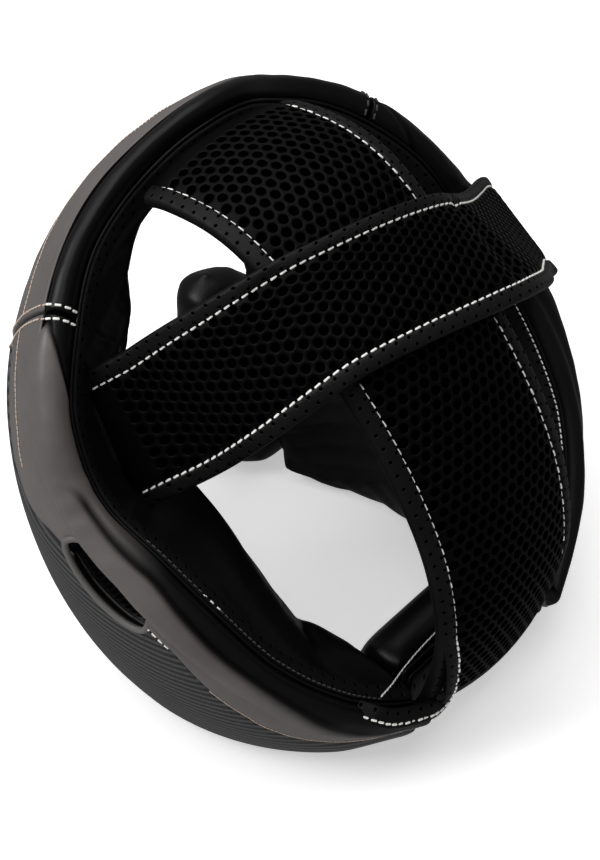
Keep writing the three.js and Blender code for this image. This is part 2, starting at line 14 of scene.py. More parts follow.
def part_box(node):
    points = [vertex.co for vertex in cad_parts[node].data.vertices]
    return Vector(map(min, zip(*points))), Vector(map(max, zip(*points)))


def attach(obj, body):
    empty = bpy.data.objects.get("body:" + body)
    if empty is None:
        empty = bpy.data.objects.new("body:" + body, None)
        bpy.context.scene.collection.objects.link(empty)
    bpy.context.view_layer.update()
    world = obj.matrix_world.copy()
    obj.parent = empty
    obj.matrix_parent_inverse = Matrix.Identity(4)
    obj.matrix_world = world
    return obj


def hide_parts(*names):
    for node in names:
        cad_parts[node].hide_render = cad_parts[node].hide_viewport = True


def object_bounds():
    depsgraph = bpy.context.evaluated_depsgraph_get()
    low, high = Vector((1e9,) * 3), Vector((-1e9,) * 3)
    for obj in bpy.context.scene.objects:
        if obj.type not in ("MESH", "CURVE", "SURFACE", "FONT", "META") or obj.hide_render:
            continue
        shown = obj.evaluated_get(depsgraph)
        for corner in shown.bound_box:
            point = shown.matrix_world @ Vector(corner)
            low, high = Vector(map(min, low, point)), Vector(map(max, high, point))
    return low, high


bl_info = {
    "name": "Padded Head Guard",
    "version": (1, 0, 0),
    "blender": (4, 5, 0),
    "location": "3D View > Sidebar > Head Guard",
    "description": "Builds the finished surfaces of a padded head guard around its frame",
    "category": "Object",
}

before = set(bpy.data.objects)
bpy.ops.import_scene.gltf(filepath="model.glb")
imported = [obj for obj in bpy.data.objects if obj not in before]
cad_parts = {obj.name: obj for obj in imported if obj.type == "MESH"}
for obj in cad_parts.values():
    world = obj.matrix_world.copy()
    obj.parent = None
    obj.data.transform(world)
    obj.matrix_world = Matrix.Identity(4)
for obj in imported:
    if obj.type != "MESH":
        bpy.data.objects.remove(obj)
CAD_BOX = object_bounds()

MM = 0.001
SIDES = (("left", 1), ("right", -1))

# Outer form: half sizes of the egg that the covers follow, in millimetres
HALF_WIDTH = 121
HALF_FRONT = 112
HALF_BACK = 124
HALF_ABOVE = 128
HALF_BELOW = 175
EGG_HEIGHT = 115

# Inner form: half sizes of the egg that the liner follows
INNER_WIDTH = 78
INNER_FRONT = 100
INNER_BACK = 100
INNER_ABOVE = 100

# Axis of the rim, which leans back from the vertical
RIM_TILT = math.radians(50.4)
RIM_BACK = 27
RIM_HEIGHT = 120

# Seams, edges and gaps
TEMPLE_TURN = 42
TEMPLE_GAP = 0.2
LAST_TURN = 152
WING_TURN = 161
WING_END = 40.3
GAP = 0.4
SPLIT_GAP = 0.6
BROW_BLEND = 18
LIP_WIDTH = 4
FACE_EDGE = -64
FACE_LEVEL = 45
FACE_LEAN = -0.278
PANEL_RECESS = 3
PANEL_FOOT = 9
PANEL_LEAST = 7
PANEL_ROUND = 1.6
PANEL_LIP = 0.2
PANEL_LIP_DROP = 0.9
PANEL_CROWN = 0.9
PANEL_DROP = 2.1
TOE_INSET = 6
TOE_RISE = 2.5
TOE_ROUND = 1.0

# Groove between roll and cover, and the root below it where cover and liner part
GROOVE_BELOW = 5
GROOVE_LEAST = 4
GROOVE_SINK = 1
ROOT_INWARD = 3
ROOT_BELOW = 11

# Bands
CROWN_HALF = 33.5
CROWN_THICK = 5
CROWN_ARC = 112
STRAP_HALF = 22
STRAP_THICK = 4.4
BINDING_WIDTH = 6
BINDING_THICK = 3.6
BINDING_LAP = 0.4
CROWN_BINDING_FULL = 1.4
STRAP_BINDING_FULL = 1.0
MESH_MARGIN = 1.5
HEX_ROW = 0.866
STRAP_TUCK = (5, 17)
STRAP_TUCK_LENGTH = 25
STRAP_NARROW = 0.24
STRAP_NARROW_SPAN = (0.08, 0.38)
STRAP_DENTS = (42, -50)
DENT_WIDTH = 7
DENT_EDGE = 5
DENT_SHARE = 0.45

# Ear slot
SLOT_LENGTH = 44
SLOT_WIDTH = 21
SLOT_FLOOR = 105
SLOT_BACK = 8
SLOT_HEIGHT = 106
SLOT_SLOPE = math.radians(-35)
SLOT_DEPTH = 5
SLOT_CLEAR = 0.4
SLOT_BED = 0.6
SLOT_BEYOND = 12
SLOT_POINTS = 64
SLOT_RIB = {"height": 0.8, "pitch": 2.6}
PIPING_RADIUS = 1.3
PIPING_RISE = {"low": 0.9, "drop": 2.8}

# Nape: inner face of the pad, and the two upright strips behind it
NAPE_FRONT = 54
NAPE_BINDING = {"front": 82.4, "rear": 84.6, "low": 28, "high": 43}
NAPE_BACKING = {"front": 85, "rear": 87.2, "low": 14, "high": 42}
NAPE_HOLE = 0.4

# Crest of the rolled rim: turn round the rim axis from the forehead, radius, depth along the axis
CREST = {
    "turn": (0, 10, 20, 30, 45, 60, 75, 90, 105, 120, 135, 150, 161),
    "radius": (130, 130, 128.5, 127.5, 123.5, 121, 117, 112, 109, 110, 114, 119, 122),
    "depth": (4, 1.5, -7, -11, -13.5, -17.5, -18.5, -9.5, -4, -1.5, -1, -2, -2),
}

# Top edge of a cover, rising out of the groove: millimetres out from it and below the crest
COVER_EDGE = {"out": (-0.4, 0.4), "below": (7.4, 6)}
COVER_TOP = {"least": 0.8, "below": 8}

# Skin of the roll up from its root: plain place, then share of the lap and height over the cover
SKIN = {
    "out": (-1.6, -0.9, 0.5),
    "below": (8.6, 7.2, 4.2),
    "lap": (0.94, 0.78, 0.42),
    "proud": (-1.3, 0.7, 1.2),
}

# Shoulder of the roll, plain and lapped, and its crest and the seat of the binding from the crest
SHOULDER = {"out": (-0.6, 0.9), "below": (1.4, 2.4)}
ROLL = {"inward": (0, 2.8, 4.6, 5.6, 12.6), "below": (-0.7, 0.2, 2, 3.9, 9.2)}
CREST_RISE = 0.5
LIMB = {"share": 0.28, "below": 8.6, "depth_share": 0.45}

# Shares of each stretch at which a wall's section has points, and how full the stretch is
SPLIT_SHARES = (0.22, 0.45, 0.7)
STRIP_SHARES = (0.3, 0.62)
RECESS_SHARES = (0, 0.1, 0.35, 0.65, 0.9, 1)
FRONT_SHARES = (0.15, 0.35, 0.55, 0.75, 0.92)
PANEL_SHARES = (0, 0.05, 0.18, 0.38, 0.62, 0.82, 0.95, 1)
INSIDE_SHARES = (0, 0.2, 0.42, 0.65, 0.88)
STRIP_FULL = 0.5
FRONT_FULL = 0.6

# Rings of a wall: turns in from a seam, counts of the rest, and shares of the steps at the wing
SEAM_STEPS = (0.5, 1.6)
FRONT_RINGS = 33
SIDE_RINGS = 46
WING_STEPS = (0.35, 0.7, 0.93)

# Waist of the liner: shares of its plan's half sizes at each height
WAIST = {
    "height": (0, 20, 40, 75, 98, 118, 136),
    "side": (0.62, 0.65, 0.68, 0.675, 0.71, 0.9, 1),
    "front": (0.6, 0.72, 0.9, 1.1, 1.12, 0.94, 0.94),
    "back": (0.85, 0.89, 0.94, 0.98, 1, 1, 1),
}

# Lower edge of the forehead, and the seam above the ear panel, measured along the rim axis
BROW = {"turn": (0, 20, 42), "depth": (-66, -69, -80)}
SEAM = {
    "turn": (42, 60, 68, 73, 78, 84, 92, 100, 108, 116, 125, 135, 150, 161),
    "below": (56, 56, 50, 41, 27, 19, 16, 11, 15, 21, 25, 27, 21, 13),
}

# Fuller roll beside the ear: millimetres that its crest lies further in
FULLER = {"turn": (58, 75, 90, 105, 122), "inward": (0, 2.5, 4.5, 3, 0)}

# Seams on the rolled rim between the painted grey sheen of the left roll and black leather: millimetres in
# from the groove
TEMPLE_SEAM = {
    "turn": (42, 43, 45.7, 48, 51.8, 55, 60, 70),
    "inset": (-1.2, -0.5, 1.4, 3.6, 7.5, 11, 17, 18),
}
EAR_SEAM = {
    "turn": (68, 70, 71.9, 75.7, 82, 88, 92, 100, 111, 119, 129, 143, 161),
    "inset": (-1, 0.7, 4.5, 6.7, 7.3, 7.8, 8.4, 6, 3.2, 2, 0.2, -2.6, -3),
}
SEAM_TURN = 69.5

# Where the seam on the roll runs out behind the temple and starts again at the ear
SEAM_RUNS_OUT = {"turn": 56, "length": 6}
SEAM_STARTS = {"turn": 70, "length": 5}

# Lap of the roll's skin over the cover, from behind the temple to the wing
LAP_START = 42.5
LAP_FADE = 7
LAP_REACH = {
    "turn": (42, 66, 76, 98, 110, 125, 138, 150, 161),
    "left": (17, 17, 9.5, 8, 12, 15.5, 19.5, 18, 12),
    "right": (27, 26, 10, 8, 12, 15.5, 19.5, 18, 12),
}

# Fullness of the liner beside the temples, which narrows the gap at the crown
TEMPLE_BULGE = {"place": (57, -45, 157), "size": 9, "width": 23}

# Soft unevenness of the leather, in millimetres
SLOW_WAVE = {"height": 0.35, "size": 46}
FINE_WAVE = {"height": 0.12, "size": 15}
PUCKER = {"height": 0.3, "size": 8, "turn": 72, "spread": 8}
TEMPLE_PINCH = {"depth": 0.9, "width": 1}
EAR_PINCH = {"depth": 1.5, "width": 2.2, "last": 140, "fade": 25}
GATHER = {"height": 1.1, "bulge_share": 0.1, "pitch_up": 11, "pitch_back": 15, "bend": 0.6, "middle": 0.7}
ROLL_FADE = {"below": 9, "length": 5}
OUTSIDE_FADE = {"start": 1, "length": 3}

# Share of the left roll behind the ear that takes the painted grey sheen, and how far in from the crest that
# sheen may reach
SHEEN_FADE = {"turn": 71, "length": 24}
SHEEN_REACH = 6
FAR_FROM_SEAM = 20

# Pads: smoothing, inset from their nodes, fullness on top, and limits of the cloth
PAD_SMOOTHING = 12
PAD_INSET = 0.6
PAD_TOP = {"height": 68, "fade": 22, "fuller": 4}
PAD_PRESSURE = 4
PAD_FRAMES = 20
PAD_REACH = 2.2

# Rim binding and piping over their seat, which slopes in from the crest
SEAT_SLOPE = (-7.4, -5.2)
SEAT_START = {"inward": 5.2, "below": 3.4}
RIM_LAST = 158.5
RIM_MIDDLE = {"radius": 112, "depth": -6}
RIM_TAPE = {"low": 0.9, "high": 8.9, "thick": 2.4, "raised": 1.5}
RIM_CORD = {"along": -0.1, "raised": 1.2, "radius": 0.75}

# Loop of tape from the lower end of the crown panel round to the rim: its sewn line
NAPE_LOOP = {
    "across": (33.2, 33, 32.2, 31.5, 34.5, 40, 48.8, 54.5, 59.8, 64.2, 68.5),
    "back": (100.5, 103.6, 103, 99.8, 98.9, 99.3, 97.4, 95.6, 93.5, 90.4, 83),
    "height": (78, 62, 46, 32.5, 29.2, 30.8, 34.1, 36.3, 39.1, 42.6, 45),
}
LOOP_FACING = (0, 0.87, 0.5)
LOOP_TAPE = {"low": -1.9, "high": 6, "thick": 2.4}

# Thread across the top of the nape pad
NAPE_THREAD = {
    "across": (54, 46, 35, 27, 19, 8),
    "back": (85.2, 83.4, 80.2, 79.6, 79.2, 78.8),
    "height": (44, 41.6, 38.4, 39.4, 40, 40.4),
}

# Middle line of the crown panel from forehead to nape
CROWN_LINE = {
    "back": (-48, -40, -28, -13, 2, 17, 37, 59.5, 81, 97, 104, 106.5, 104.5, 100.5, 97.4),
    "height": (212.6, 215.6, 217.8, 218.6, 216, 209, 192.7, 173, 147, 118, 94, 72, 52, 34, 25),
}

# Middle line of the cross strap, with the direction of its width as the fall to the rear
STRAP_LINE = {
    "across": (80, 71.5, 62, 46, 33, 0, -33, -50, -75, -98, -114, -121.5, -124.4),
    "back": (-15.5, -2, 14, 29, 34.2, 41.2, 43.6, 41.5, 31, 17.5, 8, 4.5, 2),
    "height": (138.5, 152, 172, 192.2, 198, 198.2, 190.2, 181.5, 162.5, 144.5, 132.5, 125.5, 119.5),
    "fall": (-55, -54, -43, -38, -38, -39.5, -39, -33, -25, -25, -30, -34, -37.5),
}

# Rows of stitches: places across the bands, and turns and depths round the rim
CROWN_ROW = {"across": 33.2, "start": 6, "stop": 2}
STRAP_ROW = {"across": 21.8, "start": 3, "stop": 3}
RIM_ROW = 1.5
# Spans of the rim row in thread darkened with painted shade, and spans in white thread
RIM_ROW_SHADED = ((86, 102), (107, 150))
RIM_ROW_WHITE = ((102, 106), (-95, -150))
TEMPLE_ROW = {"beside": 1.1, "below": 4, "first": 9, "last": 8, "reach": 12.0}
EAR_ROW = {"first": 97, "last": 104}
WING_ROW = {"first": 118, "last": 158}
SEAM_ROW = 1.2
SIDE_ROW = {"beside": 1.5, "last": 66, "below": 29}
BROW_ROW = {"beside": 1.5, "below": 27.5}

# Size of each kind of stitch against the white rows of the bands, and its share of the pitch
STITCH_SCALE = {
    "temple": 0.92, "temple_fine": 0.7, "ear": 0.8, "cover": 0.5, "rim": 0.62, "loop": 0.88, "nape": 0.6,
}
COVER_STITCH_SHARE = 0.95
NAPE_STITCH_SHARE = 1.05

# Searches: largest radius of an egg and first guess of a wall's end, with rounds of each
EGG_REACH = 260.0
EGG_ROUNDS = 34
END_GUESS = -80.0
END_ROUNDS = 40

TILT_SIN = math.sin(RIM_TILT)
TILT_COS = math.cos(RIM_TILT)


def body_shift():
    """Shift in millimetres from the guard's own axes to the frame, read from two of its nodes."""
    panel_low, panel_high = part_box("crown_panel")
    nape_low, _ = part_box("nape_pad")
    return np.array([
        (panel_low.x + panel_high.x) / 2 / MM,
        nape_low.y / MM - NAPE_FRONT,
        CAD_BOX[0][2] / MM,
    ])


SHIFT = body_shift()


def to_frame(points):
    """Millimetres on the guard's own axes to metres in the frame."""
    return (np.asarray(points, float) + SHIFT) * MM


def to_body(points):
    """Metres in the frame to millimetres on the guard's own axes."""
    return np.asarray(points, float) / MM - SHIFT


def mix(a, b, share):
    return a + (b - a) * share


def ease(t):
    t = np.clip(t, 0, 1)
    return t * t * (3 - 2 * t)


def bell(x, width):
    return np.exp(-((x / width) ** 2))


def look(table, key, column, at):
    """Smooth value of one column of a table at a key."""
    keys = np.asarray(table[key], float)
    values = np.asarray(table[column], float)
    last = len(keys) - 1
    before = np.maximum(np.arange(last + 1) - 1, 0)
    after = np.minimum(np.arange(last + 1) + 1, last)
    slope = (values[after] - values[before]) / (keys[after] - keys[before])
    at = np.asarray(at, float)
    i = np.clip(np.searchsorted(keys[1:], at), 0, last - 1)
    width = keys[i + 1] - keys[i]
    t = np.clip((at - keys[i]) / width, 0, 1)
    rise = t * t * (3 - 2 * t)
    return (
        values[i] * (1 - rise)
        + values[i + 1] * rise
        + width * (slope[i] * (t**3 - 2 * t * t + t) + slope[i + 1] * (t**3 - t * t))
    )


def rim_point(turn, radius, depth):
    """Point of the rim frame: turn in degrees, radius from the rim axis, depth along it."""
    turn, radius, depth = np.broadcast_arrays(np.radians(turn), radius, depth)
    up = radius * np.cos(turn)
    return np.stack([
        radius * np.sin(turn),
        RIM_BACK - TILT_COS * up + TILT_SIN * depth,
        RIM_HEIGHT + TILT_SIN * up + TILT_COS * depth,
    ], -1)


def rim_place(points):
    """Turn, radius and depth in the rim frame of points on the guard's own axes."""
    x = points[..., 0]
    back = points[..., 1] - RIM_BACK
    rise = points[..., 2] - RIM_HEIGHT
    up = TILT_SIN * rise - TILT_COS * back
    return np.degrees(np.arctan2(x, up)), np.hypot(x, up), TILT_SIN * back + TILT_COS * rise


def outer(z):
    """Half sizes of the outer form's plan at a height."""
    rise = (z - EGG_HEIGHT) / np.where(z > EGG_HEIGHT, HALF_ABOVE, HALF_BELOW)
    share = np.sqrt(np.maximum(1 - rise * rise, 0)) + 1e-9
    return HALF_WIDTH * share, HALF_FRONT * share, HALF_BACK * share


def inner(z):
    """Half sizes of the inner form's plan at a height."""
    rise = np.maximum(z - EGG_HEIGHT, 0) / INNER_ABOVE
    share = np.sqrt(np.maximum(1 - rise * rise, 0)) + 1e-9
    return (
        INNER_WIDTH * share * look(WAIST, "height", "side", z),
        INNER_FRONT * share * look(WAIST, "height", "front", z),
        INNER_BACK * share * look(WAIST, "height", "back", z),
    )


def egg_radius(egg, turn, depth):
    """Radius at which half planes of the rim frame meet an egg."""
    turn, depth = np.broadcast_arrays(turn, depth)
    near = np.zeros(turn.shape)
    far = np.full(turn.shape, EGG_REACH)
    for _ in range(EGG_ROUNDS):
        radius = (near + far) / 2
        p = rim_point(turn, radius, depth)
        side, front, back = egg(p[..., 2])
        length = np.where(p[..., 1] < 0, front, back)
        inside = (p[..., 0] / side) ** 2 + (p[..., 1] / length) ** 2 < 1
        near = np.where(inside, radius, near)
        far = np.where(inside, far, radius)
    return near


def side_end(turn, radius):
    """Depth at which a side wall ends: at the leaning face edge or the floor."""
    up = radius * np.cos(np.radians(turn))
    floor = -(RIM_HEIGHT + TILT_SIN * up) / TILT_COS
    face = (
        FACE_EDGE - RIM_BACK + FACE_LEAN * (RIM_HEIGHT - FACE_LEVEL)
        + up * (TILT_COS + FACE_LEAN * TILT_SIN)
    ) / (TILT_SIN - FACE_LEAN * TILT_COS)
    return np.maximum(floor, face)


def brow_end(turn, radius):
    """Depth at which the forehead ends: at the brow, running on into the face edge."""
    side = np.abs(turn)
    share = np.maximum(side - BROW_BLEND, 0) / (TEMPLE_TURN - BROW_BLEND)
    return mix(look(BROW, "turn", "depth", side), side_end(turn, radius), ease(share))


def meet(end, egg, turn, inset):
    """Depth at which an egg meets the end of its wall."""
    depth = np.full(np.shape(turn), END_GUESS)
    for _ in range(END_ROUNDS):
        depth = mix(depth, end(turn, egg_radius(egg, turn, depth) + inset), 0.5)
    return depth


def crest(turn):
    """Radius and depth of the roll's crest."""
    side = np.minimum(np.abs(turn), WING_TURN)
    radius = look(CREST, "turn", "radius", side) - look(FULLER, "turn", "inward", side)
    return radius, look(CREST, "turn", "depth", side)


def groove_radius(turn):
    """Radius of the groove between the roll and the cover."""
    radius, depth = crest(turn)
    return np.maximum(egg_radius(outer, turn, depth - GROOVE_BELOW), radius + GROOVE_LEAST) - GROOVE_SINK


def lap_share(turn):
    """How far the roll's skin laps over the cover."""
    return ease((np.abs(turn) - LAP_START) / LAP_FADE)


def wall(turn, end):
    """Everything that the cross sections of a wall need, for an array of turns."""
    w = SimpleNamespace(turn=turn, end=end)
    side = np.abs(turn)
    w.radius, w.depth = crest(turn)
    w.out = lambda at: egg_radius(outer, turn, at)
    w.inn = lambda at: egg_radius(inner, turn, at)
    w.out_end = meet(end, outer, turn, -TOE_INSET)
    w.in_end = meet(end, inner, turn, LIP_WIDTH)
    w.groove = groove_radius(turn)
    w.foot = w.out_end + PANEL_FOOT
    w.seam = np.maximum(w.depth - look(SEAM, "turn", "below", side), w.foot + PANEL_LEAST)
    w.split_end = mix(w.inn(w.in_end), w.out(w.out_end), 0.5)
    return w


def split_line(w, offset):
    """Line between cover and liner, from under the rolled rim to the end of the wall."""
    root = w.groove - ROOT_INWARD
    top = w.depth - ROOT_BELOW
    rows = [(root + offset, top)]
    for share in SPLIT_SHARES:
        fade = ease(share / SPLIT_SHARES[1]) * 0.6 + share * 0.4
        radius = mix(root, w.split_end, fade) + offset
        rows.append((radius, mix(top, w.end(w.turn, w.split_end), share)))
    heel = w.split_end + offset
    rows.append((heel, w.end(w.turn, heel)))
    return rows


def section_ring(face, back):
    """Closed ring of a wall's section: its face, then its back with as many points."""
    face = np.stack([np.stack(np.broadcast_arrays(*row), -1) for row in face], 1)
    back = np.stack([np.stack(np.broadcast_arrays(*row), -1) for row in back], 1)
    step = np.linalg.norm(np.diff(face, axis=1), axis=2).mean(0)
    share = np.concatenate([[0], np.cumsum(step)]) / step.sum()
    at = share * (back.shape[1] - 1)
    i = np.minimum(at.astype(int), back.shape[1] - 2)
    t = (at - i)[None, :, None]
    filled = back[:, i] * (1 - t) + back[:, i + 1] * t
    return np.concatenate([face, filled[:, ::-1]], 1)


def cover_section(w, panel):
    """Section of an outer cover, with the recess of the ear panel where it has one."""
    top = w.depth - COVER_TOP["below"]
    face = [(w.groove - ROOT_INWARD + SPLIT_GAP / 2, w.depth - ROOT_BELOW)]
    for out, below in zip(COVER_EDGE["out"], COVER_EDGE["below"]):
        face.append((w.groove + out, w.depth - below))
    face.append((np.maximum(w.out(top), w.groove + COVER_TOP["least"]), top))
    if panel:
        for share in STRIP_SHARES:
            at = mix(top, w.seam, share)
            face.append((w.out(at) + STRIP_FULL, at))
        for at, drop in ((w.seam + PANEL_ROUND, 0), (w.seam + PANEL_LIP, PANEL_LIP_DROP)):
            face.append((w.out(at) - drop, at))
        for share in RECESS_SHARES:
            at = mix(w.seam - GAP, w.foot + GAP, share)
            face.append((w.out(at) - PANEL_RECESS, at))
        for at, drop in ((w.foot - PANEL_LIP, PANEL_LIP_DROP), (w.foot - PANEL_ROUND, 0)):
            face.append((w.out(at) - drop, at))
    else:
        for share in FRONT_SHARES:
            at = mix(top, w.foot, share)
            face.append((w.out(at) + FRONT_FULL * math.sin(math.pi * share), at))
    rise = w.out_end + TOE_RISE
    face.append((w.out(rise) - TOE_ROUND, rise))
    toe = w.out(w.out_end) - TOE_INSET
    face.append((toe, w.end(w.turn, toe)))
    return section_ring(face, split_line(w, SPLIT_GAP / 2))


def panel_section(w):
    """Section of the ear panel, crowned between its sewn edges."""
    face = []
    back = []
    for share in PANEL_SHARES:
        at = mix(w.seam - 2 * GAP, w.foot + 2 * GAP, share)
        crown = PANEL_CROWN - PANEL_DROP * abs(2 * share - 1) ** 6
        face.append((w.out(at) + crown, at))
        back.append((w.out(at) - PANEL_RECESS + 2 * GAP, at))
    return section_ring(face, back)


def liner_section(w):
    """Section of the liner: rolled rim, seat of the binding, padded inside and lip."""
    limb = mix(w.depth, w.in_end, LIMB["share"])
    lap = lap_share(w.turn)
    reach = look(LAP_REACH, "turn", "left" if w.turn[-1] > 0 else "right", np.abs(w.turn))
    face = [(w.groove - ROOT_INWARD - SPLIT_GAP / 2, w.depth - ROOT_BELOW)]
    for out, below, share, proud in zip(SKIN["out"], SKIN["below"], SKIN["lap"], SKIN["proud"]):
        at = w.depth - share * reach
        lapped = np.maximum(w.out(at), w.groove + COVER_EDGE["out"][1]) + proud
        face.append((mix(w.groove + out, lapped, lap), mix(w.depth - below, at, lap)))
    face.append((w.groove + mix(*SHOULDER["out"], lap), w.depth - mix(*SHOULDER["below"], lap)))
    face.append((mix(w.groove, w.radius, 0.5), w.depth + CREST_RISE))
    for inward, below in zip(ROLL["inward"], ROLL["below"]):
        face.append((w.radius - inward, w.depth - below))
    seat_end = w.radius - ROLL["inward"][-1]
    face.append((mix(seat_end, w.inn(limb), 0.5), mix(w.depth - LIMB["below"], limb, LIMB["depth_share"])))
    for share in INSIDE_SHARES:
        at = mix(limb, w.in_end, share)
        face.append((w.inn(at), at))
    lip = w.inn(w.in_end) + LIP_WIDTH
    face.append((lip, w.end(w.turn, lip)))
    return section_ring(face, split_line(w, -SPLIT_GAP / 2))


def swept_rings(turns, end, section):
    """Rings of a wall swept over turns of the rim, square at the wing and flat at the base."""
    pairs = section(wall(turns, end))
    rings = rim_point(turns[:, None], pairs[..., 0], pairs[..., 1])
    wing = np.abs(turns) > WING_TURN - 1
    rings[wing, :, 0] = np.sign(turns[wing])[:, None] * WING_END
    rings[..., 2] = np.maximum(rings[..., 2], 0)
    return rings


def front_turns():
    edge = TEMPLE_TURN - TEMPLE_GAP
    near, far = SEAM_STEPS
    inside = np.linspace(-edge + far, edge - far, FRONT_RINGS)
    return np.concatenate([[-edge, -edge + near], inside, [edge - near, edge]])


def side_turns(sign):
    first = TEMPLE_TURN + TEMPLE_GAP
    near, far = SEAM_STEPS
    inside = np.linspace(first + far, LAST_TURN, SIDE_RINGS)
    return sign * np.concatenate([[first, first + near], inside, [WING_TURN]])


def with_wing_steps(rings):
    """The same rings with a few more between the last two, which keep the wing's end square."""
    before, last = rings[-2], rings[-1]
    extra = [mix(before, last, share) for share in WING_STEPS]
    return np.concatenate([rings[:-1], np.stack(extra), last[None]])


def loft_faces(count, rings, capped=True):
    """Four-sided faces of a closed loft whose ring is a face and a back of equal counts."""
    faces = []
    for i in range(rings - 1):
        for j in range(count):
            k = (j + 1) % count
            faces.append((i * count + j, (i + 1) * count + j, (i + 1) * count + k, i * count + k))
    if capped:
        for start in (0, (rings - 1) * count):
            for j in range(count // 2 - 1):
                faces.append((start + j, start + j + 1, start + count - 2 - j, start + count - 1 - j))
    return faces


# Objects

def new_piece(name, points, faces, material, merge=True):
    """Mesh object of points in millimetres, with its faces pointing out."""
    mesh = bpy.data.meshes.new(name)
    mesh.from_pydata(to_frame(points).tolist(), [], faces)
    shell = bmesh.new()
    shell.from_mesh(mesh)
    if merge:
        bmesh.ops.remove_doubles(shell, verts=shell.verts, dist=1e-6)
    bmesh.ops.recalc_face_normals(shell, faces=shell.faces)
    shell.to_mesh(mesh)
    shell.free()
    mesh.materials.append(material)
    piece = bpy.data.objects.new(name, mesh)
    bpy.context.scene.collection.objects.link(piece)
    shade_smooth(piece)
    return piece


def shade_smooth(piece):
    piece.data.polygons.foreach_set("use_smooth", [True] * len(piece.data.polygons))


def apply_modifiers(piece):
    """Turns the piece into the plain mesh that its modifiers make."""
    bpy.context.view_layer.update()
    graph = bpy.context.evaluated_depsgraph_get()
    mesh = bpy.data.meshes.new_from_object(piece.evaluated_get(graph), depsgraph=graph)
    before = piece.data
    piece.modifiers.clear()
    piece.data = mesh
    bpy.data.meshes.remove(before)
    piece.data.name = piece.name


def subdivide(piece, level):
    modifier = piece.modifiers.new("Subdivision", "SUBSURF")
    modifier.levels = level
    modifier.render_levels = level
    apply_modifiers(piece)
    shade_smooth(piece)


def vertex_values(piece, name):
    values = np.empty(len(piece.data.vertices) * 3)
    piece.data.vertices.foreach_get(name, values)
    return values.reshape(-1, 3)


def push(piece, distance):
    """Moves each point along its normal; distance takes points in millimetres and gives millimetres."""
    points = vertex_values(piece, "co")
    normals = vertex_values(piece, "normal")
    moved = points + normals * (distance(to_body(points)) * MM)[:, None]
    moved[:, 2] = np.maximum(moved[:, 2], 0)
    piece.data.vertices.foreach_set("co", moved.ravel())
    piece.data.update()


def ripple(points, size, seed):
    """Soft unevenness between about -1 and 1 with features of a given size in millimetres."""
    draw = np.random.default_rng(seed)
    total = np.zeros(len(points))
    for _ in range(7):
        way = draw.normal(size=3)
        way /= np.linalg.norm(way)
        total += np.sin(points @ way * (2 * math.pi / (size * draw.uniform(0.7, 1.5))) + draw.uniform(0, 7))
    return total / 3.5


def declare(piece, nodes=()):
    """Rides the piece on the guard's one body and hides the nodes that it stands for."""
    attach(piece, "root")
    if nodes:
        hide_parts(*nodes)
    return piece


# Node helpers

def add_node(tree, kind, **settings):
    node = tree.nodes.new(kind)
    for name, value in settings.items():
        setattr(node, name, value)
    return node


def wire(tree, source, out_key, target, in_key):
    tree.links.new(source.outputs[out_key], target.inputs[in_key])


def new_tree(name, kind, inputs, outputs):
    """Node group with named sockets; each is a name, a socket type and a default or None."""
    tree = bpy.data.node_groups.new(name, kind)
    for way, sockets in (("INPUT", inputs), ("OUTPUT", outputs)):
        for label, socket_type, default in sockets:
            socket = tree.interface.new_socket(name=label, in_out=way, socket_type=socket_type)
            if default is not None:
                socket.default_value = default
    return tree, tree.nodes.new("NodeGroupInput"), tree.nodes.new("NodeGroupOutput")


def run_nodes(piece, tree, values):
    """Runs a geometry tree on a piece with the given inputs and keeps the plain mesh."""
    modifier = piece.modifiers.new(tree.name, "NODES")
    modifier.node_group = tree
    for item in tree.interface.items_tree:
        if item.item_type == "SOCKET" and item.in_out == "INPUT" and item.name in values:
            modifier[item.identifier] = values[item.name]
    apply_modifiers(piece)


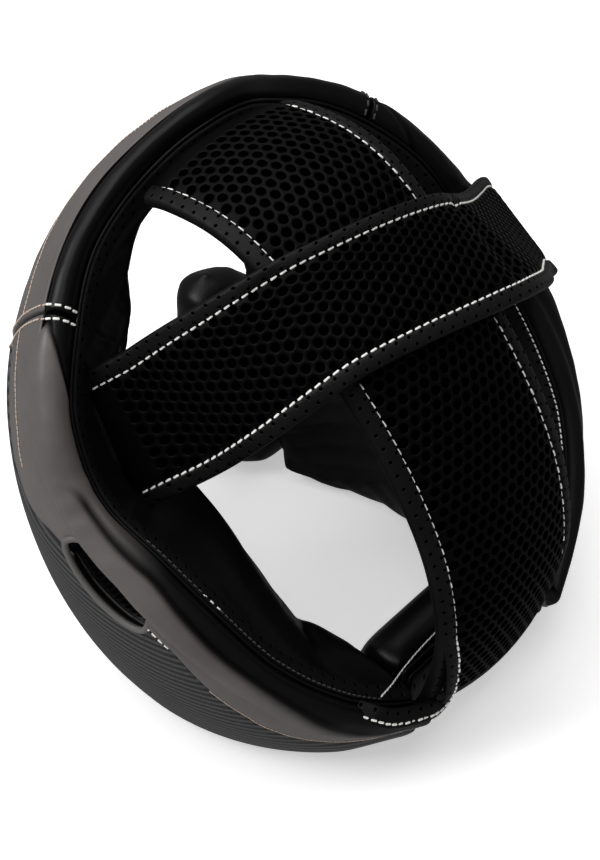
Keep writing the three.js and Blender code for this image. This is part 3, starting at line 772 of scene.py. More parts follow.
def pit_tree():
    """Sinks a pit into each face that is marked as pierced, then rounds the whole piece."""
    tree, start, end = new_tree(
        "Sunk holes",
        "GeometryNodeTree",
        [
            ("Geometry", "NodeSocketGeometry", None),
            ("Hole Share", "NodeSocketFloat", 0.7),
            ("Pit Depth", "NodeSocketFloat", 0.0016),
            ("Floor Share", "NodeSocketFloat", 0.85),
            ("Level", "NodeSocketInt", 1),
            ("Pit Material", "NodeSocketMaterial", None),
        ],
        [("Geometry", "NodeSocketGeometry", None)],
    )
    marked = add_node(tree, "GeometryNodeInputNamedAttribute", data_type="BOOLEAN")
    marked.inputs["Name"].default_value = "pierced"
    rim = add_node(tree, "GeometryNodeExtrudeMesh", mode="FACES")
    rim.inputs["Offset Scale"].default_value = 0
    hole = add_node(tree, "GeometryNodeScaleElements", domain="FACE")
    sunk = add_node(tree, "GeometryNodeExtrudeMesh", mode="FACES")
    inward = add_node(tree, "ShaderNodeMath", operation="MULTIPLY")
    inward.inputs[1].default_value = -1
    floor = add_node(tree, "GeometryNodeScaleElements", domain="FACE")
    either = add_node(tree, "FunctionNodeBooleanMath", operation="OR")
    rounded = add_node(tree, "GeometryNodeSubdivisionSurface")
    smooth = add_node(tree, "GeometryNodeSetShadeSmooth")
    real = add_node(tree, "GeometryNodeRealizeInstances")
    paint = add_node(tree, "GeometryNodeSetMaterial")
    wire(tree, start, "Geometry", rim, "Mesh")
    wire(tree, marked, "Attribute", rim, "Selection")
    wire(tree, rim, "Mesh", hole, "Geometry")
    wire(tree, rim, "Top", hole, "Selection")
    wire(tree, start, "Hole Share", hole, "Scale")
    wire(tree, hole, "Geometry", sunk, "Mesh")
    wire(tree, rim, "Top", sunk, "Selection")
    wire(tree, start, "Pit Depth", inward, 0)
    wire(tree, inward, "Value", sunk, "Offset Scale")
    wire(tree, sunk, "Mesh", floor, "Geometry")
    wire(tree, sunk, "Top", floor, "Selection")
    wire(tree, start, "Floor Share", floor, "Scale")
    wire(tree, floor, "Geometry", rounded, "Mesh")
    wire(tree, start, "Level", rounded, "Level")
    wire(tree, rounded, "Mesh", smooth, "Geometry")
    wire(tree, smooth, "Geometry", real, "Geometry")
    wire(tree, real, "Geometry", paint, "Geometry")
    # The pits' walls and floors take the pit material, which is partly painted shade
    wire(tree, sunk, "Top", either, 0)
    wire(tree, sunk, "Side", either, 1)
    wire(tree, either, "Boolean", paint, "Selection")
    wire(tree, start, "Pit Material", paint, "Material")
    wire(tree, paint, "Geometry", end, "Geometry")
    return tree


def stitch_tree():
    """Sets thread stitches along lines that carry the direction they face."""
    tree, start, end = new_tree(
        "Stitches",
        "GeometryNodeTree",
        [
            ("Geometry", "NodeSocketGeometry", None),
            ("Pitch", "NodeSocketFloat", 0.0038),
            ("Length", "NodeSocketFloat", 0.0028),
            ("Width", "NodeSocketFloat", 0.001),
            ("Slant", "NodeSocketFloat", 0.1),
            ("Thread", "NodeSocketMaterial", None),
        ],
        [("Geometry", "NodeSocketGeometry", None)],
    )
    line = add_node(tree, "GeometryNodeMeshToCurve")
    spaced = add_node(tree, "GeometryNodeResampleCurve", mode="LENGTH")
    facing = add_node(tree, "GeometryNodeInputNamedAttribute", data_type="FLOAT_VECTOR")
    facing.inputs["Name"].default_value = "facing"
    tangent = add_node(tree, "GeometryNodeInputTangent")
    across = add_node(tree, "ShaderNodeVectorMath", operation="CROSS_PRODUCT")
    slant = add_node(tree, "ShaderNodeVectorMath", operation="SCALE")
    lean = add_node(tree, "ShaderNodeVectorMath", operation="ADD")
    turn = add_node(tree, "FunctionNodeAxesToRotation", primary_axis="Z", secondary_axis="X")
    ball = add_node(tree, "GeometryNodeMeshUVSphere")
    ball.inputs["Segments"].default_value = 8
    ball.inputs["Rings"].default_value = 5
    ball.inputs["Radius"].default_value = 1
    place = add_node(tree, "GeometryNodeInputPosition")
    apart = add_node(tree, "ShaderNodeSeparateXYZ")
    side = add_node(tree, "ShaderNodeMath", operation="SIGN")
    half_width = add_node(tree, "ShaderNodeMath", operation="MULTIPLY")
    half_width.inputs[1].default_value = 0.5
    half_length = add_node(tree, "ShaderNodeMath", operation="MULTIPLY")
    half_length.inputs[1].default_value = 0.5
    reach = add_node(tree, "ShaderNodeMath", operation="SUBTRACT")
    carry = add_node(tree, "ShaderNodeMath", operation="MULTIPLY")
    ends = add_node(tree, "ShaderNodeCombineXYZ")
    sized = add_node(tree, "ShaderNodeVectorMath", operation="SCALE")
    capsule = add_node(tree, "ShaderNodeVectorMath", operation="ADD")
    shaped = add_node(tree, "GeometryNodeSetPosition")
    smooth = add_node(tree, "GeometryNodeSetShadeSmooth")
    copies = add_node(tree, "GeometryNodeInstanceOnPoints")
    real = add_node(tree, "GeometryNodeRealizeInstances")
    paint = add_node(tree, "GeometryNodeSetMaterial")
    wire(tree, start, "Geometry", line, "Mesh")
    wire(tree, line, "Curve", spaced, "Curve")
    wire(tree, start, "Pitch", spaced, "Length")
    wire(tree, facing, "Attribute", across, 0)
    wire(tree, tangent, "Tangent", across, 1)
    wire(tree, across, "Vector", slant, 0)
    wire(tree, start, "Slant", slant, "Scale")
    wire(tree, tangent, "Tangent", lean, 0)
    wire(tree, slant, "Vector", lean, 1)
    wire(tree, lean, "Vector", turn, "Primary Axis")
    wire(tree, facing, "Attribute", turn, "Secondary Axis")
    wire(tree, place, "Position", apart, "Vector")
    wire(tree, apart, "Z", side, 0)
    wire(tree, start, "Width", half_width, 0)
    wire(tree, start, "Length", half_length, 0)
    wire(tree, half_length, "Value", reach, 0)
    wire(tree, half_width, "Value", reach, 1)
    wire(tree, side, "Value", carry, 0)
    wire(tree, reach, "Value", carry, 1)
    wire(tree, carry, "Value", ends, "Z")
    wire(tree, place, "Position", sized, 0)
    wire(tree, half_width, "Value", sized, "Scale")
    wire(tree, sized, "Vector", capsule, 0)
    wire(tree, ends, "Vector", capsule, 1)
    wire(tree, ball, "Mesh", shaped, "Geometry")
    wire(tree, capsule, "Vector", shaped, "Position")
    wire(tree, shaped, "Geometry", smooth, "Geometry")
    wire(tree, spaced, "Curve", copies, "Points")
    wire(tree, smooth, "Geometry", copies, "Instance")
    wire(tree, turn, "Rotation", copies, "Rotation")
    wire(tree, copies, "Instances", real, "Geometry")
    wire(tree, real, "Geometry", paint, "Geometry")
    wire(tree, start, "Thread", paint, "Material")
    wire(tree, paint, "Geometry", end, "Geometry")
    return tree


# Materials

def grain_group():
    """Leather grain: pebbled height, fine pores and a slow change of tone."""
    tree, start, end = new_tree(
        "Leather grain",
        "ShaderNodeTree",
        [("Cell Scale", "NodeSocketFloat", 900.0), ("Tone Scale", "NodeSocketFloat", 30.0)],
        [("Height", "NodeSocketFloat", None), ("Tone", "NodeSocketFloat", None)],
    )
    place = add_node(tree, "ShaderNodeTexCoord")
    cells = add_node(tree, "ShaderNodeTexVoronoi", feature="SMOOTH_F1")
    fine = add_node(tree, "ShaderNodeTexNoise")
    fine.inputs["Detail"].default_value = 3
    tone = add_node(tree, "ShaderNodeTexNoise")
    tone.inputs["Detail"].default_value = 4
    blend = add_node(tree, "ShaderNodeMath", operation="MULTIPLY_ADD")
    blend.inputs[1].default_value = 0.4
    for node, socket in ((cells, "Cell Scale"), (fine, "Cell Scale"), (tone, "Tone Scale")):
        wire(tree, place, "Object", node, "Vector")
        wire(tree, start, socket, node, "Scale")
    wire(tree, fine, "Fac", blend, 0)
    wire(tree, cells, "Distance", blend, 2)
    wire(tree, blend, "Value", end, "Height")
    wire(tree, tone, "Fac", end, "Tone")
    return tree


def new_material(name):
    material = bpy.data.materials.new(name)
    material.use_nodes = True
    tree = material.node_tree
    return material, tree, tree.nodes["Principled BSDF"]


def tone_ramp(tree, colour, dark, light):
    """Ramp between a darker and a lighter share of one colour."""
    ramp = add_node(tree, "ShaderNodeValToRGB")
    for stop, share in zip(ramp.color_ramp.elements, (dark, light)):
        stop.color = (*[c * share for c in colour[:3]], 1)
    ramp.color_ramp.elements[0].position = 0.35
    ramp.color_ramp.elements[1].position = 0.65
    return ramp


def add_bump(tree, shader, source, key, strength, distance):
    """Raises a shader's surface by the value of a node."""
    bump = add_node(tree, "ShaderNodeBump")
    bump.inputs["Strength"].default_value = strength
    bump.inputs["Distance"].default_value = distance
    wire(tree, source, key, bump, "Height")
    wire(tree, bump, "Normal", shader, "Normal")


# How far the roughness of leather lies to each side of its middle
GLOSS_SPREAD = 0.06


def vary_gloss(tree, shader, skin, low, high):
    """Roughness that follows the slow tone of the grain."""
    gloss = add_node(tree, "ShaderNodeMapRange")
    gloss.inputs["To Min"].default_value = low
    gloss.inputs["To Max"].default_value = high
    wire(tree, skin, "Tone", gloss, "Value")
    wire(tree, gloss, "Result", shader, "Roughness")


def leather(name, colour, roughness, specular, grain, cell=900.0, bump=0.25, spread=(0.9, 1.1)):
    """Smooth leather with fine grain and a slow change of tone and gloss."""
    material, tree, shader = new_material(name)
    skin = add_node(tree, "ShaderNodeGroup", node_tree=grain)
    skin.inputs["Cell Scale"].default_value = cell
    ramp = tone_ramp(tree, colour, *spread)
    wire(tree, skin, "Tone", ramp, "Fac")
    wire(tree, ramp, "Color", shader, "Base Color")
    vary_gloss(tree, shader, skin, roughness - GLOSS_SPREAD, roughness + GLOSS_SPREAD)
    shader.inputs["Specular IOR Level"].default_value = specular
    add_bump(tree, shader, skin, "Height", bump, 0.0002)
    return material


# Sockets of a node that mixes colours
MIX_SHARE = 0
MIX_FIRST = 6
MIX_SECOND = 7
MIX_RESULT = 2


def leather_with_painted_sheen(name, grey, black, roughness, specular, grain):
    """Leather of the side covers and rolls: grey outside the seam, black inside it and darker along it. The
    covers' grey is their own colour; on the left roll the grey is a painted sheen, and the darkening along
    the seam is painted shade.
    """
    material, tree, shader = new_material(name)
    skin = add_node(tree, "ShaderNodeGroup", node_tree=grain)
    skin.inputs["Cell Scale"].default_value = 750
    gap = add_node(tree, "ShaderNodeAttribute", attribute_name="seam_gap")
    # Painted sheen: share of the left roll that is painted grey, for the sheen of the light at the left
    share = add_node(tree, "ShaderNodeAttribute", attribute_name="painted_sheen_share")
    inside = add_node(tree, "ShaderNodeMapRange", interpolation_type="SMOOTHSTEP")
    inside.inputs["From Min"].default_value = -0.6
    inside.inputs["From Max"].default_value = 0.6
    rest = add_node(tree, "ShaderNodeMath", operation="SUBTRACT")
    rest.inputs[0].default_value = 1
    blackness = add_node(tree, "ShaderNodeMath", operation="MULTIPLY")
    grey_tone = tone_ramp(tree, grey, 0.86, 1.1)
    black_tone = tone_ramp(tree, black, 0.9, 1.1)
    both = add_node(tree, "ShaderNodeMix", data_type="RGBA")
    beside = add_node(tree, "ShaderNodeMath", operation="ABSOLUTE")
    # Painted shade: the colour and the shine are darkened along the seam's crease, as deep as the seam runs
    painted_crease_shade = add_node(tree, "ShaderNodeMapRange", interpolation_type="SMOOTHSTEP")
    painted_crease_shade.inputs["From Max"].default_value = 1.5
    painted_crease_shade.inputs["To Min"].default_value = 0.12
    shaded = add_node(tree, "ShaderNodeMix", data_type="RGBA", blend_type="MULTIPLY")
    shaded.inputs["Factor"].default_value = 1
    shine = add_node(tree, "ShaderNodeMapRange")
    shine.inputs["To Min"].default_value = specular[0]
    shine.inputs["To Max"].default_value = specular[1]
    deep = add_node(tree, "ShaderNodeAttribute", attribute_name="seam_depth")
    lifted = add_node(tree, "ShaderNodeMapRange")
    lifted.inputs["To Min"].default_value = 1
    dulled = add_node(tree, "ShaderNodeMath", operation="MULTIPLY")
    wire(tree, gap, "Fac", inside, "Value")
    wire(tree, share, "Fac", rest, 1)
    wire(tree, inside, "Result", blackness, 0)
    wire(tree, rest, "Value", blackness, 1)
    wire(tree, skin, "Tone", grey_tone, "Fac")
    wire(tree, skin, "Tone", black_tone, "Fac")
    wire(tree, blackness, "Value", both, MIX_SHARE)
    wire(tree, grey_tone, "Color", both, MIX_FIRST)
    wire(tree, black_tone, "Color", both, MIX_SECOND)
    wire(tree, gap, "Fac", beside, 0)
    wire(tree, beside, "Value", painted_crease_shade, "Value")
    wire(tree, both, MIX_RESULT, shaded, MIX_FIRST)
    wire(tree, deep, "Fac", lifted, "Value")
    wire(tree, painted_crease_shade, "Result", lifted, "To Max")
    wire(tree, lifted, "Result", shaded, MIX_SECOND)
    wire(tree, shaded, MIX_RESULT, shader, "Base Color")
    wire(tree, blackness, "Value", shine, "Value")
    wire(tree, shine, "Result", dulled, 0)
    wire(tree, lifted, "Result", dulled, 1)
    wire(tree, dulled, "Value", shader, "Specular IOR Level")
    vary_gloss(tree, shader, skin, roughness - GLOSS_SPREAD, roughness + GLOSS_SPREAD)
    add_bump(tree, shader, skin, "Height", 0.2, 0.0002)
    return material


def twill(name, colour, grain):
    """Woven panel: slanted ribs crossed by fine threads."""
    material, tree, shader = new_material(name)
    place = add_node(tree, "ShaderNodeTexCoord")
    ribs = add_node(tree, "ShaderNodeTexWave", wave_type="BANDS", bands_direction="Z")
    ribs.inputs["Scale"].default_value = 88
    ribs.inputs["Distortion"].default_value = 0.25
    turned = add_node(tree, "ShaderNodeMapping")
    turned.inputs["Rotation"].default_value = (0.08, 0.0, 0.0)
    threads = add_node(tree, "ShaderNodeTexWave", wave_type="BANDS", bands_direction="Y")
    threads.inputs["Scale"].default_value = 260
    both = add_node(tree, "ShaderNodeMath", operation="MULTIPLY_ADD")
    both.inputs[1].default_value = 0.25
    ramp = tone_ramp(tree, colour, 0.45, 1.35)
    ramp.color_ramp.elements[0].position = 0.25
    ramp.color_ramp.elements[1].position = 0.85
    wire(tree, place, "Object", turned, "Vector")
    wire(tree, turned, "Vector", ribs, "Vector")
    wire(tree, turned, "Vector", threads, "Vector")
    wire(tree, threads, "Fac", both, 0)
    wire(tree, ribs, "Fac", both, 2)
    wire(tree, ribs, "Fac", ramp, "Fac")
    wire(tree, ramp, "Color", shader, "Base Color")
    skin = add_node(tree, "ShaderNodeGroup", node_tree=grain)
    vary_gloss(tree, shader, skin, 0.36, 0.5)
    shader.inputs["Specular IOR Level"].default_value = 0.3
    add_bump(tree, shader, both, "Value", 0.6, 0.0004)
    return material


def cloth(name, colour, grain, specular=0.15, roughness=0.85, scale=2600.0):
    """Dull cloth with a fine fibre grain."""
    return leather(name, colour, roughness, specular, grain, cell=scale, bump=0.5, spread=(0.7, 1.3))


def thread(name, colour):
    """Sewing thread with a fine twist."""
    material, tree, shader = new_material(name)
    place = add_node(tree, "ShaderNodeTexCoord")
    twist = add_node(tree, "ShaderNodeTexWave", wave_type="BANDS", bands_direction="DIAGONAL")
    twist.inputs["Scale"].default_value = 700
    ramp = tone_ramp(tree, colour, 0.86, 1.0)
    wire(tree, place, "Object", twist, "Vector")
    wire(tree, twist, "Fac", ramp, "Fac")
    wire(tree, ramp, "Color", shader, "Base Color")
    shader.inputs["Roughness"].default_value = 0.7
    shader.inputs["Specular IOR Level"].default_value = 0.2
    add_bump(tree, shader, twist, "Fac", 0.3, 0.0001)
    return material


FINISH = {}


def make_finishes(context):
    """Makes every material and node tree once, from the colours in the sidebar."""
    tint = context.scene.guard_colours
    grain = grain_group()
    FINISH["grey_leather"] = leather(
        "grey_leather", tint.grey_leather, 0.46, 0.35, grain, 700.0, 0.2, (0.88, 1.08))
    FINISH["black_leather"] = leather("black_leather", tint.black_leather, 0.37, 0.18, grain, 800.0, 0.18)
    # The grey of the covers is their own colour; on the left roll it is a painted sheen, and the seam's
    # crease has painted shade
    FINISH["leather_with_painted_sheen"] = leather_with_painted_sheen(
        "leather_with_painted_sheen", tint.grey_leather, tint.black_leather, 0.4, (0.35, 0.18), grain)
    FINISH["lining"] = leather("black_lining", tint.black_leather, 0.45, 0.15, grain, 800.0, 0.2)
    FINISH["twill"] = twill("twill", tint.twill, grain)
    FINISH["piping"] = leather("grey_piping", tint.piping, 0.45, 0.3, grain)
    FINISH["perforated"] = cloth("perforated_binding", tint.binding, grain, 0.14, 0.5, 1800.0)
    FINISH["mesh"] = cloth("spacer_mesh", tint.mesh, grain, 0.06, 0.5)
    # Partly painted shade: the pits' floors and walls are darker and duller than the cloth round them
    FINISH["pit"] = cloth("pit_floor_and_shade", tint.pit, grain, 0.0, 0.95)
    FINISH["thread"] = thread("white_thread", tint.thread)
    FINISH["fine_thread"] = thread("pale_thread", tint.fine_thread)
    # Painted shade: the white thread darkened where it lies in the rim's groove on the left and at the right
    # temple
    FINISH["painted_shade_thread"] = thread("painted_shade_thread", tint.painted_shade_thread)
    FINISH["pit_tree"] = pit_tree()
    FINISH["stitch_tree"] = stitch_tree()


# Curves of the two bands

def smooth_line(columns, steps=40):
    """Dense centripetal curve through the rows of a table, with its length at each point."""
    knots = np.stack([np.asarray(c, float) for c in columns], -1)
    knots = np.concatenate([[2 * knots[0] - knots[1]], knots, [2 * knots[-1] - knots[-2]]])
    parts = []
    for i in range(1, len(knots) - 2):
        p0, p1, p2, p3 = knots[i - 1:i + 3]
        d0, d1, d2 = (math.sqrt(np.linalg.norm(b - a)) for a, b in ((p0, p1), (p1, p2), (p2, p3)))
        m1 = ((p1 - p0) / d0 - (p2 - p0) / (d0 + d1) + (p2 - p1) / d1) * d1
        m2 = ((p2 - p1) / d1 - (p3 - p1) / (d1 + d2) + (p3 - p2) / d2) * d1
        t = np.linspace(0, 1, steps, endpoint=False)[:, None]
        rise = t * t * (3 - 2 * t)
        parts.append(p1 * (1 - rise) + p2 * rise + m1 * (t**3 - 2 * t * t + t) + m2 * (t**3 - t * t))
    line = np.concatenate([*parts, knots[-2][None]])
    length = np.concatenate([[0], np.cumsum(np.linalg.norm(np.diff(line, axis=0), axis=1))])
    return line, length


def along_line(line, length, at):
    """Points and unit tangents at lengths along a dense line, which runs on straight past its ends."""
    def pick(where):
        return np.stack([np.interp(where, length, line[:, i]) for i in range(line.shape[1])], -1)

    step = length[-1] * 0.004
    inside = np.clip(at, step, length[-1] - step)
    tangent = pick(inside + step) - pick(inside - step)
    tangent /= np.linalg.norm(tangent, axis=-1, keepdims=True)
    past = at - np.clip(at, 0, length[-1])
    return pick(at) + tangent * past[..., None], tangent


CROWN_CURVE = smooth_line([np.zeros(len(CROWN_LINE["back"])), CROWN_LINE["back"], CROWN_LINE["height"]])
STRAP_CURVE = smooth_line([STRAP_LINE["across"], STRAP_LINE["back"], STRAP_LINE["height"]])
CROWN_LENGTH = CROWN_CURVE[1][-1]
STRAP_LENGTH = STRAP_CURVE[1][-1]


def crown_place(x, at, off):
    """Point of the crown band at x, a length along it and a height over its middle surface."""
    x, at, off = np.broadcast_arrays(np.asarray(x, float), at, off)
    point, tangent = along_line(*CROWN_CURVE, at)
    normal = np.stack([np.zeros(at.shape), -tangent[..., 2], tangent[..., 1]], -1)
    drop = CROWN_ARC - np.sqrt(CROWN_ARC**2 - x * x)
    point = point.copy()
    point[..., 0] = x
    return point + normal * (off - drop)[..., None]


def strap_place(across, at, off):
    """Point of the strap across its width, a length along it and a height over its middle."""
    across, at, off = np.broadcast_arrays(np.asarray(across, float), at, off)
    tuck = mix(*STRAP_TUCK, (across / STRAP_HALF + 1) / 2)
    at = at - tuck * np.maximum(1 - at / STRAP_TUCK_LENGTH, 0) ** 2
    first, last = STRAP_NARROW_SPAN
    narrow = STRAP_NARROW * ease((at / STRAP_LENGTH - first) / (last - first))
    across = np.where(across < 0, across * (1 - narrow), across)
    point, tangent = along_line(*STRAP_CURVE, at)
    share = np.linspace(0, 1, len(STRAP_LINE["fall"]))
    fall = np.radians(look({"share": share, "fall": STRAP_LINE["fall"]}, "share", "fall", at / STRAP_LENGTH))
    width = np.stack([np.zeros(at.shape), np.cos(fall), np.sin(fall)], -1)
    width = width - tangent * (width * tangent).sum(-1, keepdims=True)
    width /= np.linalg.norm(width, axis=-1, keepdims=True)
    normal = np.cross(tangent, width)
    outwards = point - np.array([0, 0, EGG_HEIGHT])
    normal *= np.sign((normal * outwards).sum(-1, keepdims=True))
    dent = np.max([1 - np.abs(point[..., 0] - x) / DENT_WIDTH for x in STRAP_DENTS], axis=0)
    dent = dent * ease((STRAP_HALF - np.abs(across)) / DENT_EDGE)
    sink = np.where(off > 0, STRAP_THICK * DENT_SHARE * ease(dent), 0)
    return point + width * across[..., None] + normal * (off - sink)[..., None]


def hex_plate(name, half, length, thick, place, material, sizes):
    """Closed plate of hexagons whose inner ones are marked as pierced, laid on a band."""
    columns = round(2 * half / sizes.mesh_pitch * MM)
    pitch = 2 * half / columns
    rows = round(length / (pitch * HEX_ROW))
    cells = []
    marks = []
    for row in range(rows):
        odd = row % 2
        middle = 3 * row + 1
        for column in range(columns + odd):
            across = 2 * column + 1 - odd
            corners = [
                (across + 1, middle - 1), (across + 1, middle + 1), (across, middle + 2),
                (across - 1, middle + 1), (across - 1, middle - 1), (across, middle - 2),
            ]
            top = 3 * rows - 1
            kept = [(u, min(max(v, 0), top)) for u, v in corners if 0 <= u <= 2 * columns]
            cells.append(kept)
            inset = half - abs(across * pitch / 2 - half)
            marks.append(inset > MESH_MARGIN and 1 < row < rows - 2)
    index = {}
    for cell in cells:
        for corner in cell:
            index.setdefault(corner, len(index))
    lattice = np.array(list(index), float)
    u = lattice[:, 0] * pitch / 2 - half
    v = lattice[:, 1] / (3 * rows - 1) * length
    soft = thick * 0.25 * (1 - ease((half - np.abs(u)) / 3))
    points = np.concatenate([place(u, v, thick / 2 - soft), place(u, v, -thick / 2 + soft)])
    count = len(lattice)
    faces = [[index[c] for c in cell] for cell in cells]
    faces += [[index[c] + count for c in reversed(cell)] for cell in cells]
    edges = {}
    for cell in faces[:len(cells)]:
        for a, b in zip(cell, cell[1:] + cell[:1]):
            edges[(a, b)] = edges.get((a, b), 0) + 1
    sides = [(a, b) for a, b in edges if (b, a) not in edges]
    faces += [[b, a, a + count, b + count] for a, b in sides]
    piece = new_piece(name, points, faces, material, merge=False)
    mark_pierced(piece, marks + [False] * (len(faces) - len(marks)))
    return piece


def mark_pierced(piece, marks):
    layer = piece.data.attributes.new("pierced", "BOOLEAN", "FACE")
    layer.data.foreach_set("value", marks)


# Shares of a binding's width between which its rows of holes lie, with the rounding of its edges
BAND_TOP = ((0, 0.45), (0.1, 0.95), (0.4, 1), (0.6, 1), (0.9, 0.95), (1, 0.45))
BAND_UNDER = ((1, -0.6), (0.8, -1), (0.2, -1), (0, -0.6))
HOLE_STRIPS = (1, 3)
HOLE_EVERY = 3


def binding(name, low, high, thick, stations, place, material):
    """Rounded band between two places across, with two rows of marked faces along its top."""
    ring = BAND_TOP + BAND_UNDER
    share = np.array([p[0] for p in ring])
    off = np.array([p[1] for p in ring]) * thick / 2
    points = place(mix(low, high, share)[None, :], stations[:, None], off[None, :])
    count = len(ring)
    faces = loft_faces(count, len(stations), capped=False)
    marks = []
    for i in range(len(stations) - 1):
        for j in range(count):
            row = HOLE_STRIPS.index(j) if j in HOLE_STRIPS else None
            marks.append(row is not None and (i + row * (HOLE_EVERY // 2 + 1)) % HOLE_EVERY == 1)
    for start in (0, (len(stations) - 1) * count):
        faces.append(tuple(range(start, start + count)))
        marks.append(False)
    piece = new_piece(name, points.reshape(-1, 3), faces, material, merge=False)
    mark_pierced(piece, marks)
    return piece


def pierce(piece, sizes, share, depth):
    """Sinks the marked faces of a piece and takes the marks off again."""
    run_nodes(piece, FINISH["pit_tree"], {
        "Hole Share": share,
        "Pit Depth": depth,
        "Floor Share": sizes.floor_share,
        "Pit Material": FINISH["pit"],
    })
    marks = piece.data.attributes.get("pierced")
    if marks:
        piece.data.attributes.remove(marks)


def tube(name, path, radius, material, sides, closed=False):
    """Round tube along points in millimetres."""
    path = np.asarray(path, float)
    count = len(path)
    if closed:
        tangent = np.roll(path, -1, 0) - np.roll(path, 1, 0)
    else:
        tangent = np.gradient(path, axis=0)
    tangent /= np.linalg.norm(tangent, axis=1, keepdims=True)
    side = np.cross(tangent, path - np.array([0, 0, EGG_HEIGHT]))
    side /= np.linalg.norm(side, axis=1, keepdims=True)
    rise = np.cross(side, tangent)
    roll = np.linspace(0, 2 * math.pi, sides, endpoint=False)
    ring = side[:, None] * np.cos(roll)[None, :, None] + rise[:, None] * np.sin(roll)[None, :, None]
    points = (path[:, None] + radius * ring).reshape(-1, 3)
    faces = loft_faces(sides, count, capped=False)
    if closed:
        last = (count - 1) * sides
        faces += [(last + j, j, (j + 1) % sides, last + (j + 1) % sides) for j in range(sides)]
    else:
        faces += [tuple(range(sides)), tuple(range((count - 1) * sides, count * sides))]
    return new_piece(name, points, faces, material, merge=False)


# Property groups

class GuardSizes(bpy.types.PropertyGroup):
    """Sizes of the guard's stitches, mesh and perforations."""

    mesh_pitch: FloatProperty(
        name="Mesh Pitch", description="Distance between the holes of the mesh",
        default=0.0050, unit="LENGTH")
    mesh_hole: FloatProperty(
        name="Mesh Hole", description="Share of a cell that its hole takes up",
        default=0.74, subtype="FACTOR")
    mesh_depth: FloatProperty(
        name="Mesh Depth", description="Depth of the mesh's holes", default=0.0016, unit="LENGTH")
    floor_share: FloatProperty(
        name="Floor Share", description="Width of a hole's floor against its mouth",
        default=0.85, subtype="FACTOR")
    perforation_step: FloatProperty(
        name="Perforation Step", description="Length of a third of the spacing of a binding's holes",
        default=0.0019, unit="LENGTH")
    perforation_hole: FloatProperty(
        name="Perforation Hole", description="Share of its face that a binding's hole takes up",
        default=0.68, subtype="FACTOR")
    perforation_depth: FloatProperty(
        name="Perforation Depth", description="Depth of a binding's holes", default=0.0009, unit="LENGTH")
    stitch_pitch: FloatProperty(
        name="Stitch Pitch", description="Distance from stitch to stitch", default=0.0039, unit="LENGTH")
    stitch_length: FloatProperty(
        name="Stitch Length", description="Length of a stitch", default=0.0028, unit="LENGTH")
    stitch_width: FloatProperty(
        name="Stitch Width", description="Thickness of the thread", default=0.00105, unit="LENGTH")
    wall_level: IntProperty(
        name="Wall Level", description="Subdivision of the padded walls", default=2, min=1, max=3)
    pad_voxel: FloatProperty(
        name="Pad Voxel", description="Voxel size of the simulated pads", default=0.005, unit="LENGTH")


class GuardColours(bpy.types.PropertyGroup):
    """Colours of the guard's finishes."""

    # This grey is also painted on the left roll as a sheen
    grey_leather: FloatVectorProperty(
        name="Grey Leather", description="Colour of the outer covers",
        default=(0.096, 0.0875, 0.0845), size=3, subtype="COLOR")
    black_leather: FloatVectorProperty(
        name="Black Leather", description="Colour of the rolled rim, liner and pads",
        default=(0.0022, 0.0022, 0.0024), size=3, subtype="COLOR")
    twill: FloatVectorProperty(
        name="Twill", description="Colour of the ear panels",
        default=(0.042, 0.042, 0.043), size=3, subtype="COLOR")
    piping: FloatVectorProperty(
        name="Piping", description="Colour of the ear slots' piping",
        default=(0.1, 0.095, 0.092), size=3, subtype="COLOR")
    binding: FloatVectorProperty(
        name="Binding", description="Colour of the perforated bindings",
        default=(0.0035, 0.0035, 0.0037), size=3, subtype="COLOR")
    mesh: FloatVectorProperty(
        name="Mesh", description="Colour of the mesh's threads",
        default=(0.0011, 0.0011, 0.0012), size=3, subtype="COLOR")
    # Partly painted shade: the pits' floors and walls are darker and duller than the cloth round them
    pit: FloatVectorProperty(
        name="Pit", description="Colour deep in the holes",
        default=(0.0003, 0.0003, 0.0003), size=3, subtype="COLOR")
    thread: FloatVectorProperty(
        name="Thread", description="Colour of the white stitches",
        default=(0.9, 0.89, 0.86), size=3, subtype="COLOR")
    fine_thread: FloatVectorProperty(
        name="Fine Thread", description="Colour of the stitches on the grey leather",
        default=(0.5, 0.4, 0.33), size=3, subtype="COLOR")
    # Painted shade: the white thread darkened where it lies in the rim's groove on the left and at the right
    # temple
    painted_shade_thread: FloatVectorProperty(
        name="Dull Thread", description="Colour of the sunken stitches at the rim and the right temple",
        default=(0.06, 0.06, 0.06), size=3, subtype="COLOR")


